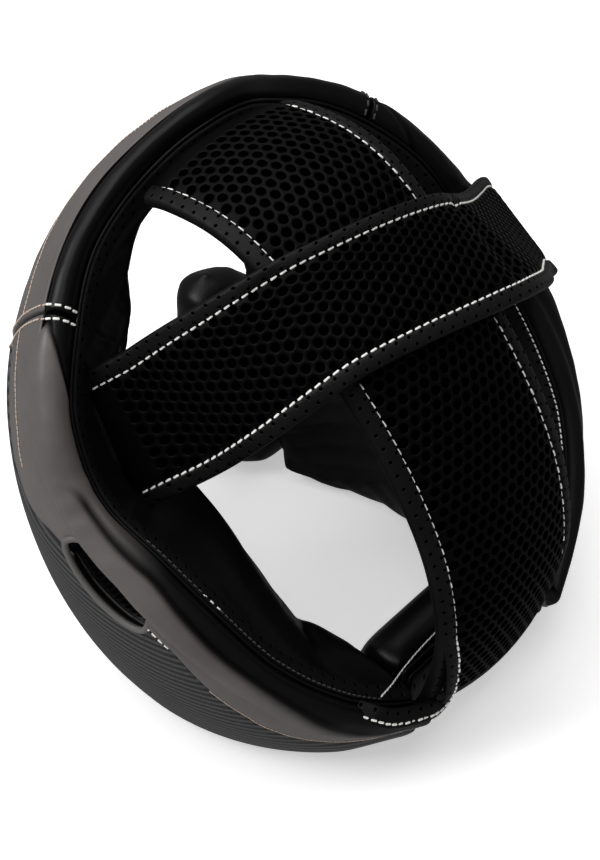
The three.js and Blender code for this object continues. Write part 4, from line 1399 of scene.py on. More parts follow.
class GuardStage(bpy.types.PropertyGroup):
    """Camera, light and floor."""

    azimuth: FloatProperty(
        name="Azimuth", description="Direction to the camera round the guard, from +X",
        default=math.radians(41.8), subtype="ANGLE")
    elevation: FloatProperty(
        name="Elevation", description="Height of the camera as an angle",
        default=math.radians(44.6), subtype="ANGLE")
    distance: FloatProperty(
        name="Distance", description="Distance from the camera to its target", default=0.8, unit="LENGTH")
    target: FloatVectorProperty(
        name="Target", description="Point that the camera looks at",
        default=(0.003, 0.0055, 0.11), size=3, subtype="XYZ", unit="LENGTH")
    lens: FloatProperty(name="Lens", description="Focal length in millimetres", default=85.4)
    shift_x: FloatProperty(name="Shift X", description="Sideways shift of the image", default=-0.0233)
    shift_y: FloatProperty(name="Shift Y", description="Upright shift of the image", default=-0.0349)
    floor: FloatVectorProperty(
        name="Floor", description="Colour of the floor", default=(0.9, 0.9, 0.9), size=3, subtype="COLOR")
    glow: FloatProperty(name="Glow", description="Light that the floor gives by itself", default=0.46)
    world: FloatProperty(name="World", description="Strength of the light from all round", default=0.2)
    reach: FloatProperty(
        name="Reach", description="Distance from the floor's middle to its edges",
        default=12.0, unit="LENGTH")
    key: FloatProperty(
        name="Key Light", description="Power of the large light overhead", default=16.5, unit="POWER")
    key_place: FloatVectorProperty(
        name="Key Place", description="Place of the large light overhead",
        default=(0.0, -0.2, 1.3), size=3, subtype="XYZ", unit="LENGTH")
    key_size: FloatProperty(
        name="Key Size", description="Width of the large light overhead", default=1.6, unit="LENGTH")
    side: FloatProperty(
        name="Side Light", description="Power of the light at the left temple", default=7.0, unit="POWER")
    side_place: FloatVectorProperty(
        name="Side Place", description="Place of the light at the left temple",
        default=(0.78, -0.5, 0.86), size=3, subtype="XYZ", unit="LENGTH")
    side_size: FloatProperty(
        name="Side Size", description="Width of the light at the left temple", default=0.55, unit="LENGTH")
    aim: FloatVectorProperty(
        name="Aim", description="Point that both lights face",
        default=(0.0, 0.0, 0.1), size=3, subtype="XYZ", unit="LENGTH")


# Operators

def padded_wall(name, turns, end, section, material, sizes, wing):
    """Smooth closed wall swept over turns of the rim, with a square end at the wing."""
    rings = swept_rings(turns, end, section)
    if wing:
        rings = with_wing_steps(rings)
    faces = loft_faces(rings.shape[1], len(rings))
    piece = new_piece(name, rings.reshape(-1, 3), faces, material)
    subdivide(piece, sizes.wall_level)
    return piece


def slot_place(along, over):
    """Back and height of places along and across the sloping ear slot."""
    return (
        SLOT_BACK + along * math.cos(SLOT_SLOPE) - over * math.sin(SLOT_SLOPE),
        SLOT_HEIGHT + along * math.sin(SLOT_SLOPE) + over * math.cos(SLOT_SLOPE),
    )


def slot_outline(angle, inset=0.0):
    """Back and height of points on the ear slot's outline."""
    return slot_place((SLOT_LENGTH / 2 - inset) * np.cos(angle), (SLOT_WIDTH / 2 - inset) * np.sin(angle))


def outer_x(y, z):
    """How far out the outer form reaches at a place seen from the side."""
    side, front, back = outer(z)
    return side * np.sqrt(1 - (y / np.where(y < 0, front, back)) ** 2)


def cut_slot(piece, sign):
    """Cuts the ear slot of one side out of a piece."""
    count = SLOT_POINTS
    y, z = slot_outline(np.linspace(0, 2 * math.pi, count, endpoint=False))
    reaches = (SLOT_FLOOR, HALF_WIDTH + SLOT_BEYOND)
    rings = [np.stack([np.full(count, sign * x), y, z], -1) for x in reaches]
    faces = loft_faces(count, len(rings), capped=False)
    faces += [tuple(range(count)), tuple(range(count, 2 * count))]
    cutter = new_piece("slot_cutter", np.concatenate(rings), faces, FINISH["lining"])
    modifier = piece.modifiers.new("Slot", "BOOLEAN")
    modifier.operation = "DIFFERENCE"
    modifier.solver = "EXACT"
    modifier.material_mode = "TRANSFER"
    modifier.object = cutter
    apply_modifiers(piece)
    shade_smooth(piece)
    bpy.data.objects.remove(cutter)


def roll_mask(points):
    """How far a point belongs to the rolled rim."""
    turn, _, depth = rim_place(points)
    return ease((depth - crest(turn)[1] + ROLL_FADE["below"]) / ROLL_FADE["length"])


def seam_gap(points):
    """Millimetres from the seam on the roll to points, positive on its black side."""
    turn, radius, _ = rim_place(points)
    side = np.abs(turn)
    temple = look(TEMPLE_SEAM, "turn", "inset", side)
    ear = look(EAR_SEAM, "turn", "inset", side)
    return groove_radius(turn) - radius - np.where(side < SEAM_TURN, temple, ear)


def seam_depth(side):
    """How deep the seam on the roll is: it runs out between the temple and the ear."""
    temple = 1 - ease((side - SEAM_RUNS_OUT["turn"]) / SEAM_RUNS_OUT["length"])
    ear = ease((side - SEAM_STARTS["turn"]) / SEAM_STARTS["length"])
    return np.where(side < SEAM_TURN, temple, ear)


def store(piece, name, values):
    """Keeps a value for each point of a piece, which its material reads."""
    layer = piece.data.attributes.new(name, "FLOAT", "POINT")
    layer.data.foreach_set("value", values)


def uneven(points):
    """Soft unevenness of the covers, and of the skin that laps over them."""
    slow = SLOW_WAVE["height"] * ripple(points, SLOW_WAVE["size"], 3)
    return slow + FINE_WAVE["height"] * ripple(points, FINE_WAVE["size"], 4)


def seam_pinch(points):
    """How far the seam draws the roll in."""
    side = np.abs(rim_place(points)[0])
    gap = seam_gap(points)
    temple = TEMPLE_PINCH["depth"] * bell(gap, TEMPLE_PINCH["width"])
    ear = EAR_PINCH["depth"] * bell(gap, EAR_PINCH["width"])
    ear *= ease((EAR_PINCH["last"] - side) / EAR_PINCH["fade"])
    pinch = np.where(side < SEAM_TURN, temple, ear)
    return np.where(side > TEMPLE_TURN, pinch, 0) * seam_depth(side)


def gathers(points):
    """Gathers and fullness of the liner's inside."""
    place = np.abs(points) * (1, 0, 0) + points * (0, 1, 1)
    away = np.linalg.norm(place - TEMPLE_BULGE["place"], axis=1)
    bulge = TEMPLE_BULGE["size"] * bell(away, TEMPLE_BULGE["width"])
    wave = points[:, 2] * math.pi / GATHER["pitch_up"] + points[:, 1] * math.pi / GATHER["pitch_back"]
    fold = np.abs(np.sin(wave)) ** GATHER["bend"] - GATHER["middle"]
    return (GATHER["height"] + GATHER["bulge_share"] * bulge) * fold + bulge


def padding(points):
    """Soft form of a liner: uneven roll with its pinched seam, and gathers inside."""
    turn, radius, _ = rim_place(points)
    outside = ease((radius - crest(turn)[0] - OUTSIDE_FADE["start"]) / OUTSIDE_FADE["length"])
    roll = np.maximum(roll_mask(points), outside)
    move = mix(SLOW_WAVE["height"] * ripple(points, SLOW_WAVE["size"], 5), uneven(points), outside)
    spread = bell(np.abs(turn) - PUCKER["turn"], PUCKER["spread"])
    move += roll * PUCKER["height"] * spread * ripple(points, PUCKER["size"], 6)
    return move - roll * seam_pinch(points) + (1 - roll) * gathers(points)


class GUARD_OT_covers(bpy.types.Operator):
    """Grey leather covers of the forehead and the two sides"""

    bl_idname = "guard.covers"
    bl_label = "Leather Covers"

    def execute(self, context):
        sizes = context.scene.guard_sizes
        front = padded_wall(
            "forehead_cover_leather", front_turns(), brow_end,
            lambda w: cover_section(w, False), FINISH["grey_leather"], sizes, False)
        push(front, uneven)
        declare(front, ["forehead_cover"])
        for side, sign in SIDES:
            cover = padded_wall(
                f"side_cover_leather_{side}", side_turns(sign), side_end,
                lambda w: cover_section(w, True), FINISH["leather_with_painted_sheen"], sizes, True)
            push(cover, uneven)
            store(cover, "seam_gap", np.full(len(cover.data.vertices), -FAR_FROM_SEAM))
            cut_slot(cover, sign)
            declare(cover, [f"side_cover_{side}"])
        return {"FINISHED"}


class GUARD_OT_ear_panels(bpy.types.Operator):
    """Twill ear panels with the piped slots and their ribbed lining"""

    bl_idname = "guard.ear_panels"
    bl_label = "Ear Panels"

    def execute(self, context):
        sizes = context.scene.guard_sizes
        for side, sign in SIDES:
            panel = padded_wall(
                f"ear_panel_twill_{side}", side_turns(sign), side_end,
                panel_section, FINISH["twill"], sizes, True)
            cut_slot(panel, sign)
            declare(panel, [f"ear_panel_{side}"])
            self.piping(side, sign)
            self.lining(side, sign)
        return {"FINISHED"}

    def piping(self, side, sign):
        """Cord round the slot, which sinks in at its upper edge."""
        angle = np.linspace(0, 2 * math.pi, 96, endpoint=False)
        y, z = slot_outline(angle, PIPING_RADIUS * 0.4)
        raised = PIPING_RISE["low"] - PIPING_RISE["drop"] * ease(np.sin(angle) * 1.6)
        path = np.stack([sign * (outer_x(y, z) + raised), y, z], -1)
        ring = tube(f"ear_piping_cord_{side}", path, PIPING_RADIUS, FINISH["piping"], 12, closed=True)
        declare(ring, [f"ear_piping_{side}"])

    def lining(self, side, sign):
        """Ribbed floor of the slot, as a closed plate."""
        columns, rows = 121, 9
        u = np.linspace(-0.98, 0.98, columns)[:, None] * (SLOT_LENGTH / 2 - SLOT_CLEAR)
        half = np.sqrt(np.maximum(1 - (u / (SLOT_LENGTH / 2)) ** 2, 0)) * (SLOT_WIDTH / 2 - SLOT_CLEAR)
        v = np.linspace(-1, 1, rows)[None, :] * half
        y, z = slot_place(u, v)
        rib = SLOT_RIB["height"] * np.sin(u * 2 * math.pi / SLOT_RIB["pitch"]) + np.zeros_like(v)
        x = outer_x(y, z) - SLOT_DEPTH + rib
        face = np.stack([sign * x, y, z], -1).reshape(-1, 3)
        back = np.stack([sign * np.full_like(x, SLOT_FLOOR + SLOT_BED), y, z], -1).reshape(-1, 3)
        faces = []
        count = columns * rows
        for i in range(columns - 1):
            for j in range(rows - 1):
                a = i * rows + j
                faces.append((a, a + 1, a + rows + 1, a + rows))
                faces.append((a + count, a + rows + count, a + rows + 1 + count, a + 1 + count))
            for j in (0, rows - 1):
                a = i * rows + j
                faces.append((a, a + rows, a + rows + count, a + count))
        for i in (0, columns - 1):
            for j in range(rows - 1):
                a = i * rows + j
                faces.append((a, a + 1, a + 1 + count, a + count))
        lining = new_piece(f"ear_slot_lining_{side}", np.concatenate([face, back]), faces, FINISH["lining"])
        declare(lining)


class GUARD_OT_liners(bpy.types.Operator):
    """Black leather liners with the rolled rim"""

    bl_idname = "guard.liners"
    bl_label = "Liners and Rolled Rim"

    def execute(self, context):
        sizes = context.scene.guard_sizes
        front = padded_wall(
            "forehead_liner_leather", front_turns(), brow_end, liner_section,
            FINISH["black_leather"], sizes, False)
        push(front, padding)
        declare(front, ["forehead_liner"])
        for side, sign in SIDES:
            liner = padded_wall(
                f"side_liner_leather_{side}", side_turns(sign), side_end, liner_section,
                FINISH["leather_with_painted_sheen"], sizes, True)
            points = to_body(vertex_values(liner, "co"))
            push(liner, padding)
            self.mark_seam(liner, points, sign)
            declare(liner, [f"side_liner_{side}"])
        return {"FINISHED"}

    def mark_seam(self, liner, points, sign):
        """Stores where the roll takes a painted grey sheen: only on the left, outside the seam and not on
        the inside; the right roll stays black.
        """
        turn, radius, _ = rim_place(points)
        side = np.abs(turn)
        # Painted sheen: only the left roll outside the seam turns grey; the right roll and the inside stay
        # black
        black = (radius < crest(turn)[0] - SHEEN_REACH) | (sign < 0)
        gap = seam_gap(points) * np.where(side > SEAM_TURN, 0.5, 1)
        share = 1 - ease((side - SHEEN_FADE["turn"]) / SHEEN_FADE["length"])
        store(liner, "seam_gap", np.where(black, FAR_FROM_SEAM, gap))
        store(liner, "painted_sheen_share", np.where(black | (side < SEAM_TURN), 0, share))
        store(liner, "seam_depth", seam_depth(side))


def rim_seat_place(along, turn, off):
    """Point over the seat of the rim binding: place across it, turn and height."""
    along, turn, off = np.broadcast_arrays(np.asarray(along, float), turn, off)
    radius, depth = crest(turn)
    inward, down = np.array(SEAT_SLOPE) / math.hypot(*SEAT_SLOPE)
    radius = radius - SEAT_START["inward"] + inward * along + down * off
    depth = depth - SEAT_START["below"] + down * along - inward * off
    return rim_point(turn, radius, depth)


class GUARD_OT_rim_trim(bpy.types.Operator):
    """Perforated binding and thin piping inside the rolled rim"""

    bl_idname = "guard.rim_trim"
    bl_label = "Rim Trim"

    def execute(self, context):
        sizes = context.scene.guard_sizes
        line = rim_point(np.linspace(-RIM_LAST, RIM_LAST, 400), RIM_MIDDLE["radius"], RIM_MIDDLE["depth"])
        length = np.linalg.norm(np.diff(line, axis=0), axis=1).sum()
        turns = np.linspace(-RIM_LAST, RIM_LAST, int(length / sizes.perforation_step * MM))

        def place(across, turn, off):
            return rim_seat_place(across, turn, off + RIM_TAPE["raised"])

        band = binding(
            "rim_binding_tape", RIM_TAPE["low"], RIM_TAPE["high"], RIM_TAPE["thick"], turns, place,
            FINISH["perforated"])
        pierce(band, sizes, sizes.perforation_hole, sizes.perforation_depth)
        declare(band, ["rim_binding"])
        path = rim_seat_place(RIM_CORD["along"], np.linspace(-RIM_LAST, RIM_LAST, 330), RIM_CORD["raised"])
        cord = tube("rim_piping_cord", path, RIM_CORD["radius"], FINISH["black_leather"], 8)
        declare(cord)
        return {"FINISHED"}


class GUARD_OT_pads(bpy.types.Operator):
    """Cheek pads and nape pad, inflated as cloth"""

    bl_idname = "guard.pads"
    bl_label = "Cheek and Nape Pads"

    def execute(self, context):
        sizes = context.scene.guard_sizes
        pads = []
        for node, fill in (("cheek_pad_left", 0.8), ("cheek_pad_right", 0.8), ("nape_pad", 0.7)):
            pads.append((self.start(node, sizes), node, fill))
        self.inflate(context, [pad for pad, _, _ in pads])
        for pad, node, fill in pads:
            subdivide(pad, 1)
            declare(pad, [node])
        return {"FINISHED"}

    def start(self, node, sizes):
        """Remeshed copy of a node, a little smaller than it."""
        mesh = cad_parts[node].data.copy()
        pad = bpy.data.objects.new(f"{node}_leather", mesh)
        bpy.context.scene.collection.objects.link(pad)
        shell = bmesh.new()
        shell.from_mesh(mesh)
        bmesh.ops.remove_doubles(shell, verts=shell.verts, dist=1e-6)
        shell.to_mesh(mesh)
        shell.free()
        mesh.materials.clear()
        mesh.materials.append(FINISH["black_leather"])
        remesh = pad.modifiers.new("Remesh", "REMESH")
        remesh.mode = "VOXEL"
        remesh.voxel_size = sizes.pad_voxel
        relax = pad.modifiers.new("Smooth", "SMOOTH")
        relax.iterations = PAD_SMOOTHING
        apply_modifiers(pad)

        def fullness(points):
            top = ease((points[:, 2] - PAD_TOP["height"]) / PAD_TOP["fade"])
            return PAD_TOP["fuller"] * top - PAD_INSET

        push(pad, fullness)
        return pad

    def inflate(self, context, pads):
        """Runs the cloth for some frames and keeps each point within a few millimetres."""
        before = [vertex_values(pad, "co") for pad in pads]
        for pad in pads:
            modifier = pad.modifiers.new("Cloth", "CLOTH")
            modifier.settings.use_pressure = True
            modifier.settings.uniform_pressure_force = PAD_PRESSURE
            modifier.settings.effector_weights.gravity = 0
            modifier.point_cache.frame_end = PAD_FRAMES
        for step in range(1, PAD_FRAMES + 1):
            context.scene.frame_set(step)
        for pad, rest in zip(pads, before):
            apply_modifiers(pad)
            move = vertex_values(pad, "co") - rest
            size = np.linalg.norm(move, axis=1, keepdims=True)
            kept = rest + move * np.minimum(1, PAD_REACH * MM / np.maximum(size, 1e-9))
            kept[:, 2] = np.maximum(kept[:, 2], 0)
            pad.data.vertices.foreach_set("co", kept.ravel())
            pad.data.update()
        context.scene.frame_set(1)


def edge_bindings(name, ends, half, thick, length, place, sizes):
    """A perforated binding along each edge of a band."""
    stations = np.linspace(0, length, int(length / sizes.perforation_step * MM))
    for end, sign in ends:
        band = binding(
            f"{name}_binding_tape_{end}", sign * (half - BINDING_LAP), sign * (half + GAP + BINDING_WIDTH),
            thick, stations, place, FINISH["perforated"])
        pierce(band, sizes, sizes.perforation_hole, sizes.perforation_depth)
        declare(band, [f"{name}_binding_{end}"])


class GUARD_OT_crown(bpy.types.Operator):
    """Mesh crown panel with its two perforated bindings"""

    bl_idname = "guard.crown"
    bl_label = "Crown Panel"

    def execute(self, context):
        sizes = context.scene.guard_sizes
        panel = hex_plate(
            "crown_panel_mesh", CROWN_HALF, CROWN_LENGTH, CROWN_THICK, crown_place,
            FINISH["mesh"], sizes)
        pierce(panel, sizes, sizes.mesh_hole, sizes.mesh_depth)
        declare(panel, ["crown_panel"])
        full = BINDING_THICK + CROWN_BINDING_FULL
        edge_bindings("crown", SIDES, CROWN_HALF, full, CROWN_LENGTH, crown_place, sizes)
        return {"FINISHED"}


class GUARD_OT_strap(bpy.types.Operator):
    """Mesh cross strap with its two perforated bindings"""

    bl_idname = "guard.strap"
    bl_label = "Cross Strap"

    def execute(self, context):
        sizes = context.scene.guard_sizes
        strap = hex_plate(
            "cross_strap_mesh", STRAP_HALF, STRAP_LENGTH, STRAP_THICK, strap_place,
            FINISH["mesh"], sizes)
        pierce(strap, sizes, sizes.mesh_hole, sizes.mesh_depth)
        declare(strap, ["cross_strap"])
        full = BINDING_THICK + STRAP_BINDING_FULL
        ends = (("front", -1), ("rear", 1))
        edge_bindings("strap", ends, STRAP_HALF, full, STRAP_LENGTH, strap_place, sizes)
        return {"FINISHED"}


def loop_line():
    """Place function and length of the loop of tape at the nape."""
    curve = smooth_line([NAPE_LOOP["across"], NAPE_LOOP["back"], NAPE_LOOP["height"]])

    def place(over, at, off):
        over, at, off = np.broadcast_arrays(np.asarray(over, float), at, off)
        point, tangent = along_line(*curve, at)
        facing = np.array(LOOP_FACING)
        width = np.cross(tangent, facing)
        width /= np.linalg.norm(width, axis=-1, keepdims=True)
        return point + width * over[..., None] + facing * off[..., None]

    return place, curve[1][-1]


class GUARD_OT_nape(bpy.types.Operator):
    """Two perforated strips of the nape closure"""

    bl_idname = "guard.nape"
    bl_label = "Nape Strips"

    def execute(self, context):
        sizes = context.scene.guard_sizes
        half = WING_END - GAP
        for node, row in (("nape_binding", NAPE_BINDING), ("nape_backing", NAPE_BACKING)):
            middle = (row["front"] + row["rear"]) / 2

            def place(height, x, off, middle=middle):
                height, x, off = np.broadcast_arrays(height, x, off)
                return np.stack([x, middle + off, height], -1)

            stations = np.linspace(-half, half, int(2 * half / sizes.perforation_step * MM))
            band = binding(
                f"{node}_tape", row["low"], row["high"], row["rear"] - row["front"],
                stations, place, FINISH["perforated"])
            pierce(band, sizes, NAPE_HOLE, sizes.perforation_depth)
            declare(band, [node])
        place, length = loop_line()
        stations = np.linspace(0, length, int(length / sizes.perforation_step * MM))
        loop = binding(
            "nape_loop_tape", LOOP_TAPE["low"], LOOP_TAPE["high"], LOOP_TAPE["thick"], stations, place,
            FINISH["perforated"])
        pierce(loop, sizes, sizes.perforation_hole, sizes.perforation_depth)
        declare(loop)
        return {"FINISHED"}


def surface_under(names):
    """Search tree over the finished surfaces of some pieces."""
    points = []
    faces = []
    for name in names:
        mesh = bpy.data.objects[name].data
        base = len(points)
        points += [v.co.copy() for v in mesh.vertices]
        faces += [[base + i for i in p.vertices] for p in mesh.polygons]
    return BVHTree.FromPolygons(points, faces)


def laid_on(tree, path, normals, reach=8.0, lift=0.25):
    """Path in millimetres dropped onto a surface along its normals, in metres, with what it faces."""
    laid = []
    facing = []
    for point, normal in zip(to_frame(path), normals):
        way = Vector(normal).normalized()
        start = Vector(point) + way * reach * MM
        hit, _, _, _ = tree.ray_cast(start, -way, 2 * reach * MM)
        if hit is None:
            continue
        laid.append(hit + way * lift * MM)
        facing.append(way)
    return laid, facing


def sewn(name, rows, material, sizes, scale=1.0, share=None):
    """One piece with the stitches of several rows; share is a stitch's part of its pitch."""
    points = []
    edges = []
    facing = []
    for laid, ways in rows:
        base = len(points)
        points += [tuple(p) for p in laid]
        edges += [(base + i, base + i + 1) for i in range(len(laid) - 1)]
        facing += [tuple(w) for w in ways]
    mesh = bpy.data.meshes.new(name)
    mesh.from_pydata(points, edges, [])
    layer = mesh.attributes.new("facing", "FLOAT_VECTOR", "POINT")
    layer.data.foreach_set("vector", np.array(facing).ravel())
    piece = bpy.data.objects.new(name, mesh)
    bpy.context.scene.collection.objects.link(piece)
    run_nodes(piece, FINISH["stitch_tree"], {
        "Pitch": sizes.stitch_pitch * scale,
        "Length": sizes.stitch_pitch * scale * share if share else sizes.stitch_length * scale,
        "Width": sizes.stitch_width * scale,
        "Thread": material,
    })
    return declare(piece)


def band_row(place, across, length, start, stop, count=160):
    """Path and normals of a row of stitches along a band."""
    at = np.linspace(start, length - stop, count)
    path = place(across, at, 3.0)
    under = place(across, at, 1.0)
    return path, path - under


def wall_row(turns, radius, depth):
    """Path and outward normals of a row on the outer form."""
    path = rim_point(turns, radius, depth)
    away = path - rim_point(turns, radius - 10, depth - 0.5)
    return path, away


def cover_row(tree, turns, depth):
    """Row of stitches laid on a cover at a depth under the rim plane."""
    return laid_on(tree, *wall_row(turns, egg_radius(outer, turns, depth), depth))


class GUARD_OT_stitches(bpy.types.Operator):
    """White, pale and dull rows of stitches"""

    bl_idname = "guard.stitches"
    bl_label = "Stitches"

    def execute(self, context):
        sizes = context.scene.guard_sizes
        white = FINISH["thread"]
        crown = surface_under(["crown_panel_mesh", "crown_binding_tape_left", "crown_binding_tape_right"])
        rows = self.band_rows(crown, crown_place, CROWN_LENGTH, CROWN_ROW)
        sewn("crown_stitches", rows, white, sizes)
        strap = surface_under(["cross_strap_mesh", "strap_binding_tape_front", "strap_binding_tape_rear"])
        rows = self.band_rows(strap, strap_place, STRAP_LENGTH, STRAP_ROW)
        sewn("strap_stitches", rows, white, sizes)
        self.temple_rows(sizes, white)
        self.seam_rows(sizes)
        self.rim_rows(sizes, white)
        self.nape_rows(sizes, white)
        return {"FINISHED"}

    def band_rows(self, tree, place, length, row):
        """One row along each edge of a band."""
        rows = []
        for across in (row["across"], -row["across"]):
            rows.append(laid_on(tree, *band_row(place, across, length, row["start"], row["stop"])))
        return rows

    def rim_rows(self, sizes, white):
        """Row along the outer edge of the rim binding: white thread at the right and where it catches light
        on the left, and the rest on the left in thread darkened with painted shade.
        """
        tape = surface_under(["rim_binding_tape", "rim_piping_cord"])
        for name, material, spans in (
            ("rim_stitches_painted_shade", FINISH["painted_shade_thread"], RIM_ROW_SHADED),
            ("rim_stitches_white", white, RIM_ROW_WHITE),
        ):
            rows = []
            for first, last in spans:
                turns = np.linspace(first, last, 160)
                path = rim_seat_place(RIM_ROW, turns, 4.0)
                normals = path - rim_seat_place(RIM_ROW, turns, 1.0)
                rows.append(laid_on(tape, path, normals))
            sewn(name, rows, material, sizes, STITCH_SCALE["rim"])

    def nape_rows(self, sizes, white):
        """Stitches round the loop of tape and the thread over the nape pad."""
        place, length = loop_line()
        at = np.linspace(1, length - 1, 120)
        path = place(0.0, at, 4.0)
        row = laid_on(surface_under(["nape_loop_tape"]), path, path - place(0.0, at, 1.0))
        sewn("nape_loop_stitches", [row], white, sizes, STITCH_SCALE["loop"])
        line, _ = smooth_line([NAPE_THREAD["across"], NAPE_THREAD["back"], NAPE_THREAD["height"]], 12)
        sewn(
            "nape_thread", [(to_frame(line), [LOOP_FACING] * len(line))], white, sizes,
            STITCH_SCALE["nape"], NAPE_STITCH_SHARE)

    def over_roll(self, at, w):
        """Path and normals of a row over the roll at one turn, from its inside outward."""
        angle = np.linspace(-0.5, 0.5, 26)[4:] * math.pi
        depth = w.depth - TEMPLE_ROW["below"]
        middle = rim_point(at, mix(w.groove, w.radius, 0.45), depth)
        out = rim_point(at, w.groove + 20, depth) - middle
        out /= np.linalg.norm(out)
        axis = rim_point(at, w.radius, w.depth + 10) - rim_point(at, w.radius, w.depth)
        axis /= np.linalg.norm(axis)
        ways = np.sin(angle)[:, None] * out + np.cos(angle)[:, None] * axis
        return middle + ways * 5, ways

    def temple_rows(self, sizes, white):
        """Two rows beside each temple seam, over the roll and then finer down the covers."""
        walls = ["forehead_cover_leather", "forehead_liner_leather"]
        for side in ("left", "right"):
            walls += [f"side_cover_leather_{side}", f"side_liner_leather_{side}", f"ear_panel_twill_{side}"]
        tree = surface_under(walls)
        rows = {1: [], -1: []}
        fine = []
        for sign in (1, -1):
            for beside in (-TEMPLE_ROW["beside"], TEMPLE_ROW["beside"]):
                at = np.array([float(sign * (TEMPLE_TURN + beside))])
                w = wall(at, side_end)
                path, normals = self.over_roll(at, w)
                depth = np.linspace(w.depth[0] - TEMPLE_ROW["first"], w.out_end[0] + TEMPLE_ROW["last"], 40)
                turns = np.full(depth.shape, at[0])
                down, away = wall_row(turns, egg_radius(outer, turns, depth), depth)
                on_roll = len(path) - 2
                path = np.concatenate([path, down])
                normals = np.concatenate([normals, away])
                rows[sign].append(laid_on(tree, path[:on_roll], normals[:on_roll], TEMPLE_ROW["reach"]))
                fine.append(laid_on(tree, path[on_roll:], normals[on_roll:], TEMPLE_ROW["reach"]))
        # The right temple's rows take thread darkened with painted shade
        for name, kept, material, slot, scale in (
            ("temple_stitches_white", rows[1], white, "black_leather", "temple"),
            ("temple_stitches_painted_shade", rows[-1], FINISH["painted_shade_thread"], "black_leather", "temple"),
            ("temple_stitches_fine", fine, FINISH["fine_thread"], "grey_leather", "temple_fine"),
        ):
            sewn(name, kept, material, sizes, STITCH_SCALE[scale])

    def seam_rows(self, sizes):
        """Rows along the ear seams, and fine rows over the covers."""
        rows = []
        fine = []
        for side, sign in SIDES:
            cover = surface_under([f"side_cover_leather_{side}"])
            for kept, row in ((rows, EAR_ROW), (fine, WING_ROW)):
                turns = sign * np.linspace(row["first"], row["last"], 90)
                kept.append(cover_row(cover, turns, wall(turns, side_end).seam + SEAM_ROW))
            turns = sign * np.linspace(TEMPLE_TURN + SIDE_ROW["beside"], SIDE_ROW["last"], 90)
            fine.append(cover_row(cover, turns, wall(turns, side_end).depth - SIDE_ROW["below"]))
        front = surface_under(["forehead_cover_leather"])
        last = TEMPLE_TURN - BROW_ROW["beside"]
        turns = np.linspace(-last, last, 180)
        fine.append(cover_row(front, turns, wall(turns, brow_end).depth - BROW_ROW["below"]))
        sewn("ear_seam_stitches", rows, FINISH["thread"], sizes, STITCH_SCALE["ear"])
        sewn(
            "cover_stitches", fine, FINISH["fine_thread"], sizes,
            STITCH_SCALE["cover"], COVER_STITCH_SHARE)


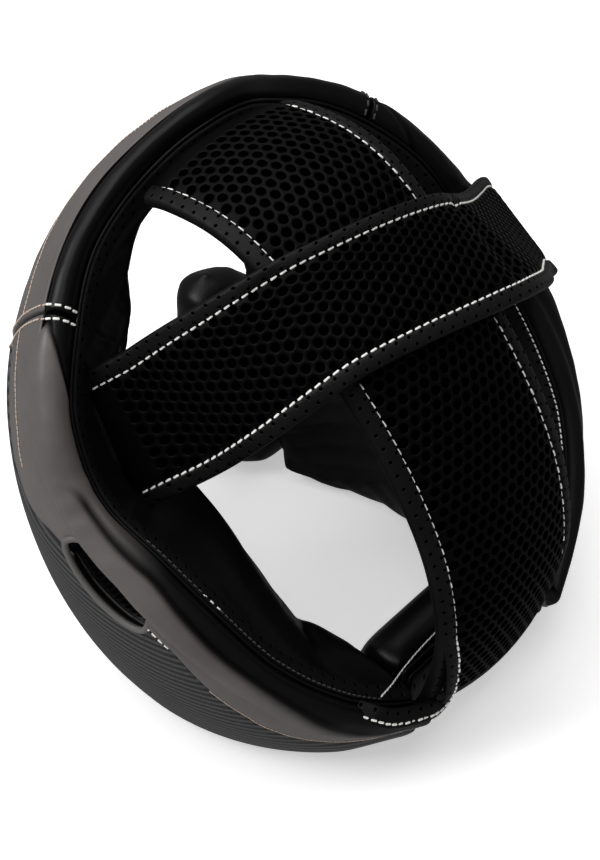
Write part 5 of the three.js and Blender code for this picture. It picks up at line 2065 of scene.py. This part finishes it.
class GUARD_OT_stage(bpy.types.Operator):
    """Floor, lights and camera"""

    bl_idname = "guard.stage"
    bl_label = "Stage"

    def execute(self, context):
        stage = context.scene.guard_stage
        self.floor(context, stage)
        self.lights(context, stage)
        self.camera(context, stage)
        context.scene.view_settings.view_transform = "Standard"
        return {"FINISHED"}

    def floor(self, context, stage):
        mesh = bpy.data.meshes.new("floor")
        reach = stage.reach
        corners = [(-reach, -reach, 0), (reach, -reach, 0), (reach, reach, 0), (-reach, reach, 0)]
        mesh.from_pydata(corners, [], [(0, 1, 2, 3)])
        floor = bpy.data.objects.new("floor", mesh)
        context.scene.collection.objects.link(floor)
        material, _, shader = new_material("pale_floor")
        shader.inputs["Base Color"].default_value = (*stage.floor, 1)
        shader.inputs["Roughness"].default_value = 0.8
        shader.inputs["Specular IOR Level"].default_value = 0.1
        shader.inputs["Emission Color"].default_value = (1, 1, 1, 1)
        shader.inputs["Emission Strength"].default_value = stage.glow
        mesh.materials.append(material)
        floor.visible_glossy = False

    def lights(self, context, stage):
        world = bpy.data.worlds.new("soft_world")
        world.use_nodes = True
        background = world.node_tree.nodes["Background"]
        background.inputs["Color"].default_value = (1, 1, 1, 1)
        background.inputs["Strength"].default_value = stage.world
        context.scene.world = world
        for name, place, size, power in (
            ("overhead_light", stage.key_place, stage.key_size, stage.key),
            ("left_light", stage.side_place, stage.side_size, stage.side),
        ):
            data = bpy.data.lights.new(name, "AREA")
            data.size = size
            data.energy = power
            light = bpy.data.objects.new(name, data)
            light.location = place
            way = Vector(stage.aim) - Vector(place)
            light.rotation_euler = way.to_track_quat("-Z", "Y").to_euler()
            context.scene.collection.objects.link(light)

    def camera(self, context, stage):
        data = bpy.data.cameras.new("camera")
        data.lens = stage.lens
        data.sensor_width = 36
        data.shift_x = stage.shift_x
        data.shift_y = stage.shift_y
        data.clip_start = 0.01
        camera = bpy.data.objects.new("camera", data)
        level = math.cos(stage.elevation)
        way = Vector((
            level * math.cos(stage.azimuth), level * math.sin(stage.azimuth), math.sin(stage.elevation)))
        camera.location = Vector(stage.target) + way * stage.distance
        camera.rotation_euler = way.to_track_quat("Z", "Y").to_euler()
        context.scene.collection.objects.link(camera)
        context.scene.camera = camera


STEPS = ("covers", "ear_panels", "liners", "rim_trim", "pads", "crown", "strap", "nape", "stitches", "stage")


class GUARD_PT_panel(bpy.types.Panel):
    """Sidebar panel with the sizes, colours and steps"""

    bl_idname = "GUARD_PT_panel"
    bl_label = "Head Guard"
    bl_space_type = "VIEW_3D"
    bl_region_type = "UI"
    bl_category = "Head Guard"

    def draw(self, context):
        scene = context.scene
        for group in (scene.guard_sizes, scene.guard_colours, scene.guard_stage):
            box = self.layout.box()
            for name in group.__annotations__:
                box.prop(group, name)
        for step in STEPS:
            self.layout.operator(f"guard.{step}")


CLASSES = (
    GuardSizes,
    GuardColours,
    GuardStage,
    GUARD_OT_covers,
    GUARD_OT_ear_panels,
    GUARD_OT_liners,
    GUARD_OT_rim_trim,
    GUARD_OT_pads,
    GUARD_OT_crown,
    GUARD_OT_strap,
    GUARD_OT_nape,
    GUARD_OT_stitches,
    GUARD_OT_stage,
    GUARD_PT_panel,
)


def register():
    for item in CLASSES:
        bpy.utils.register_class(item)
    bpy.types.Scene.guard_sizes = PointerProperty(type=GuardSizes)
    bpy.types.Scene.guard_colours = PointerProperty(type=GuardColours)
    bpy.types.Scene.guard_stage = PointerProperty(type=GuardStage)


def unregister():
    del bpy.types.Scene.guard_stage
    del bpy.types.Scene.guard_colours
    del bpy.types.Scene.guard_sizes
    for item in reversed(CLASSES):
        bpy.utils.unregister_class(item)


def main():
    register()
    make_finishes(bpy.context)
    for step in STEPS:
        getattr(bpy.ops.guard, step)()


if __name__ == "__main__":
    main()
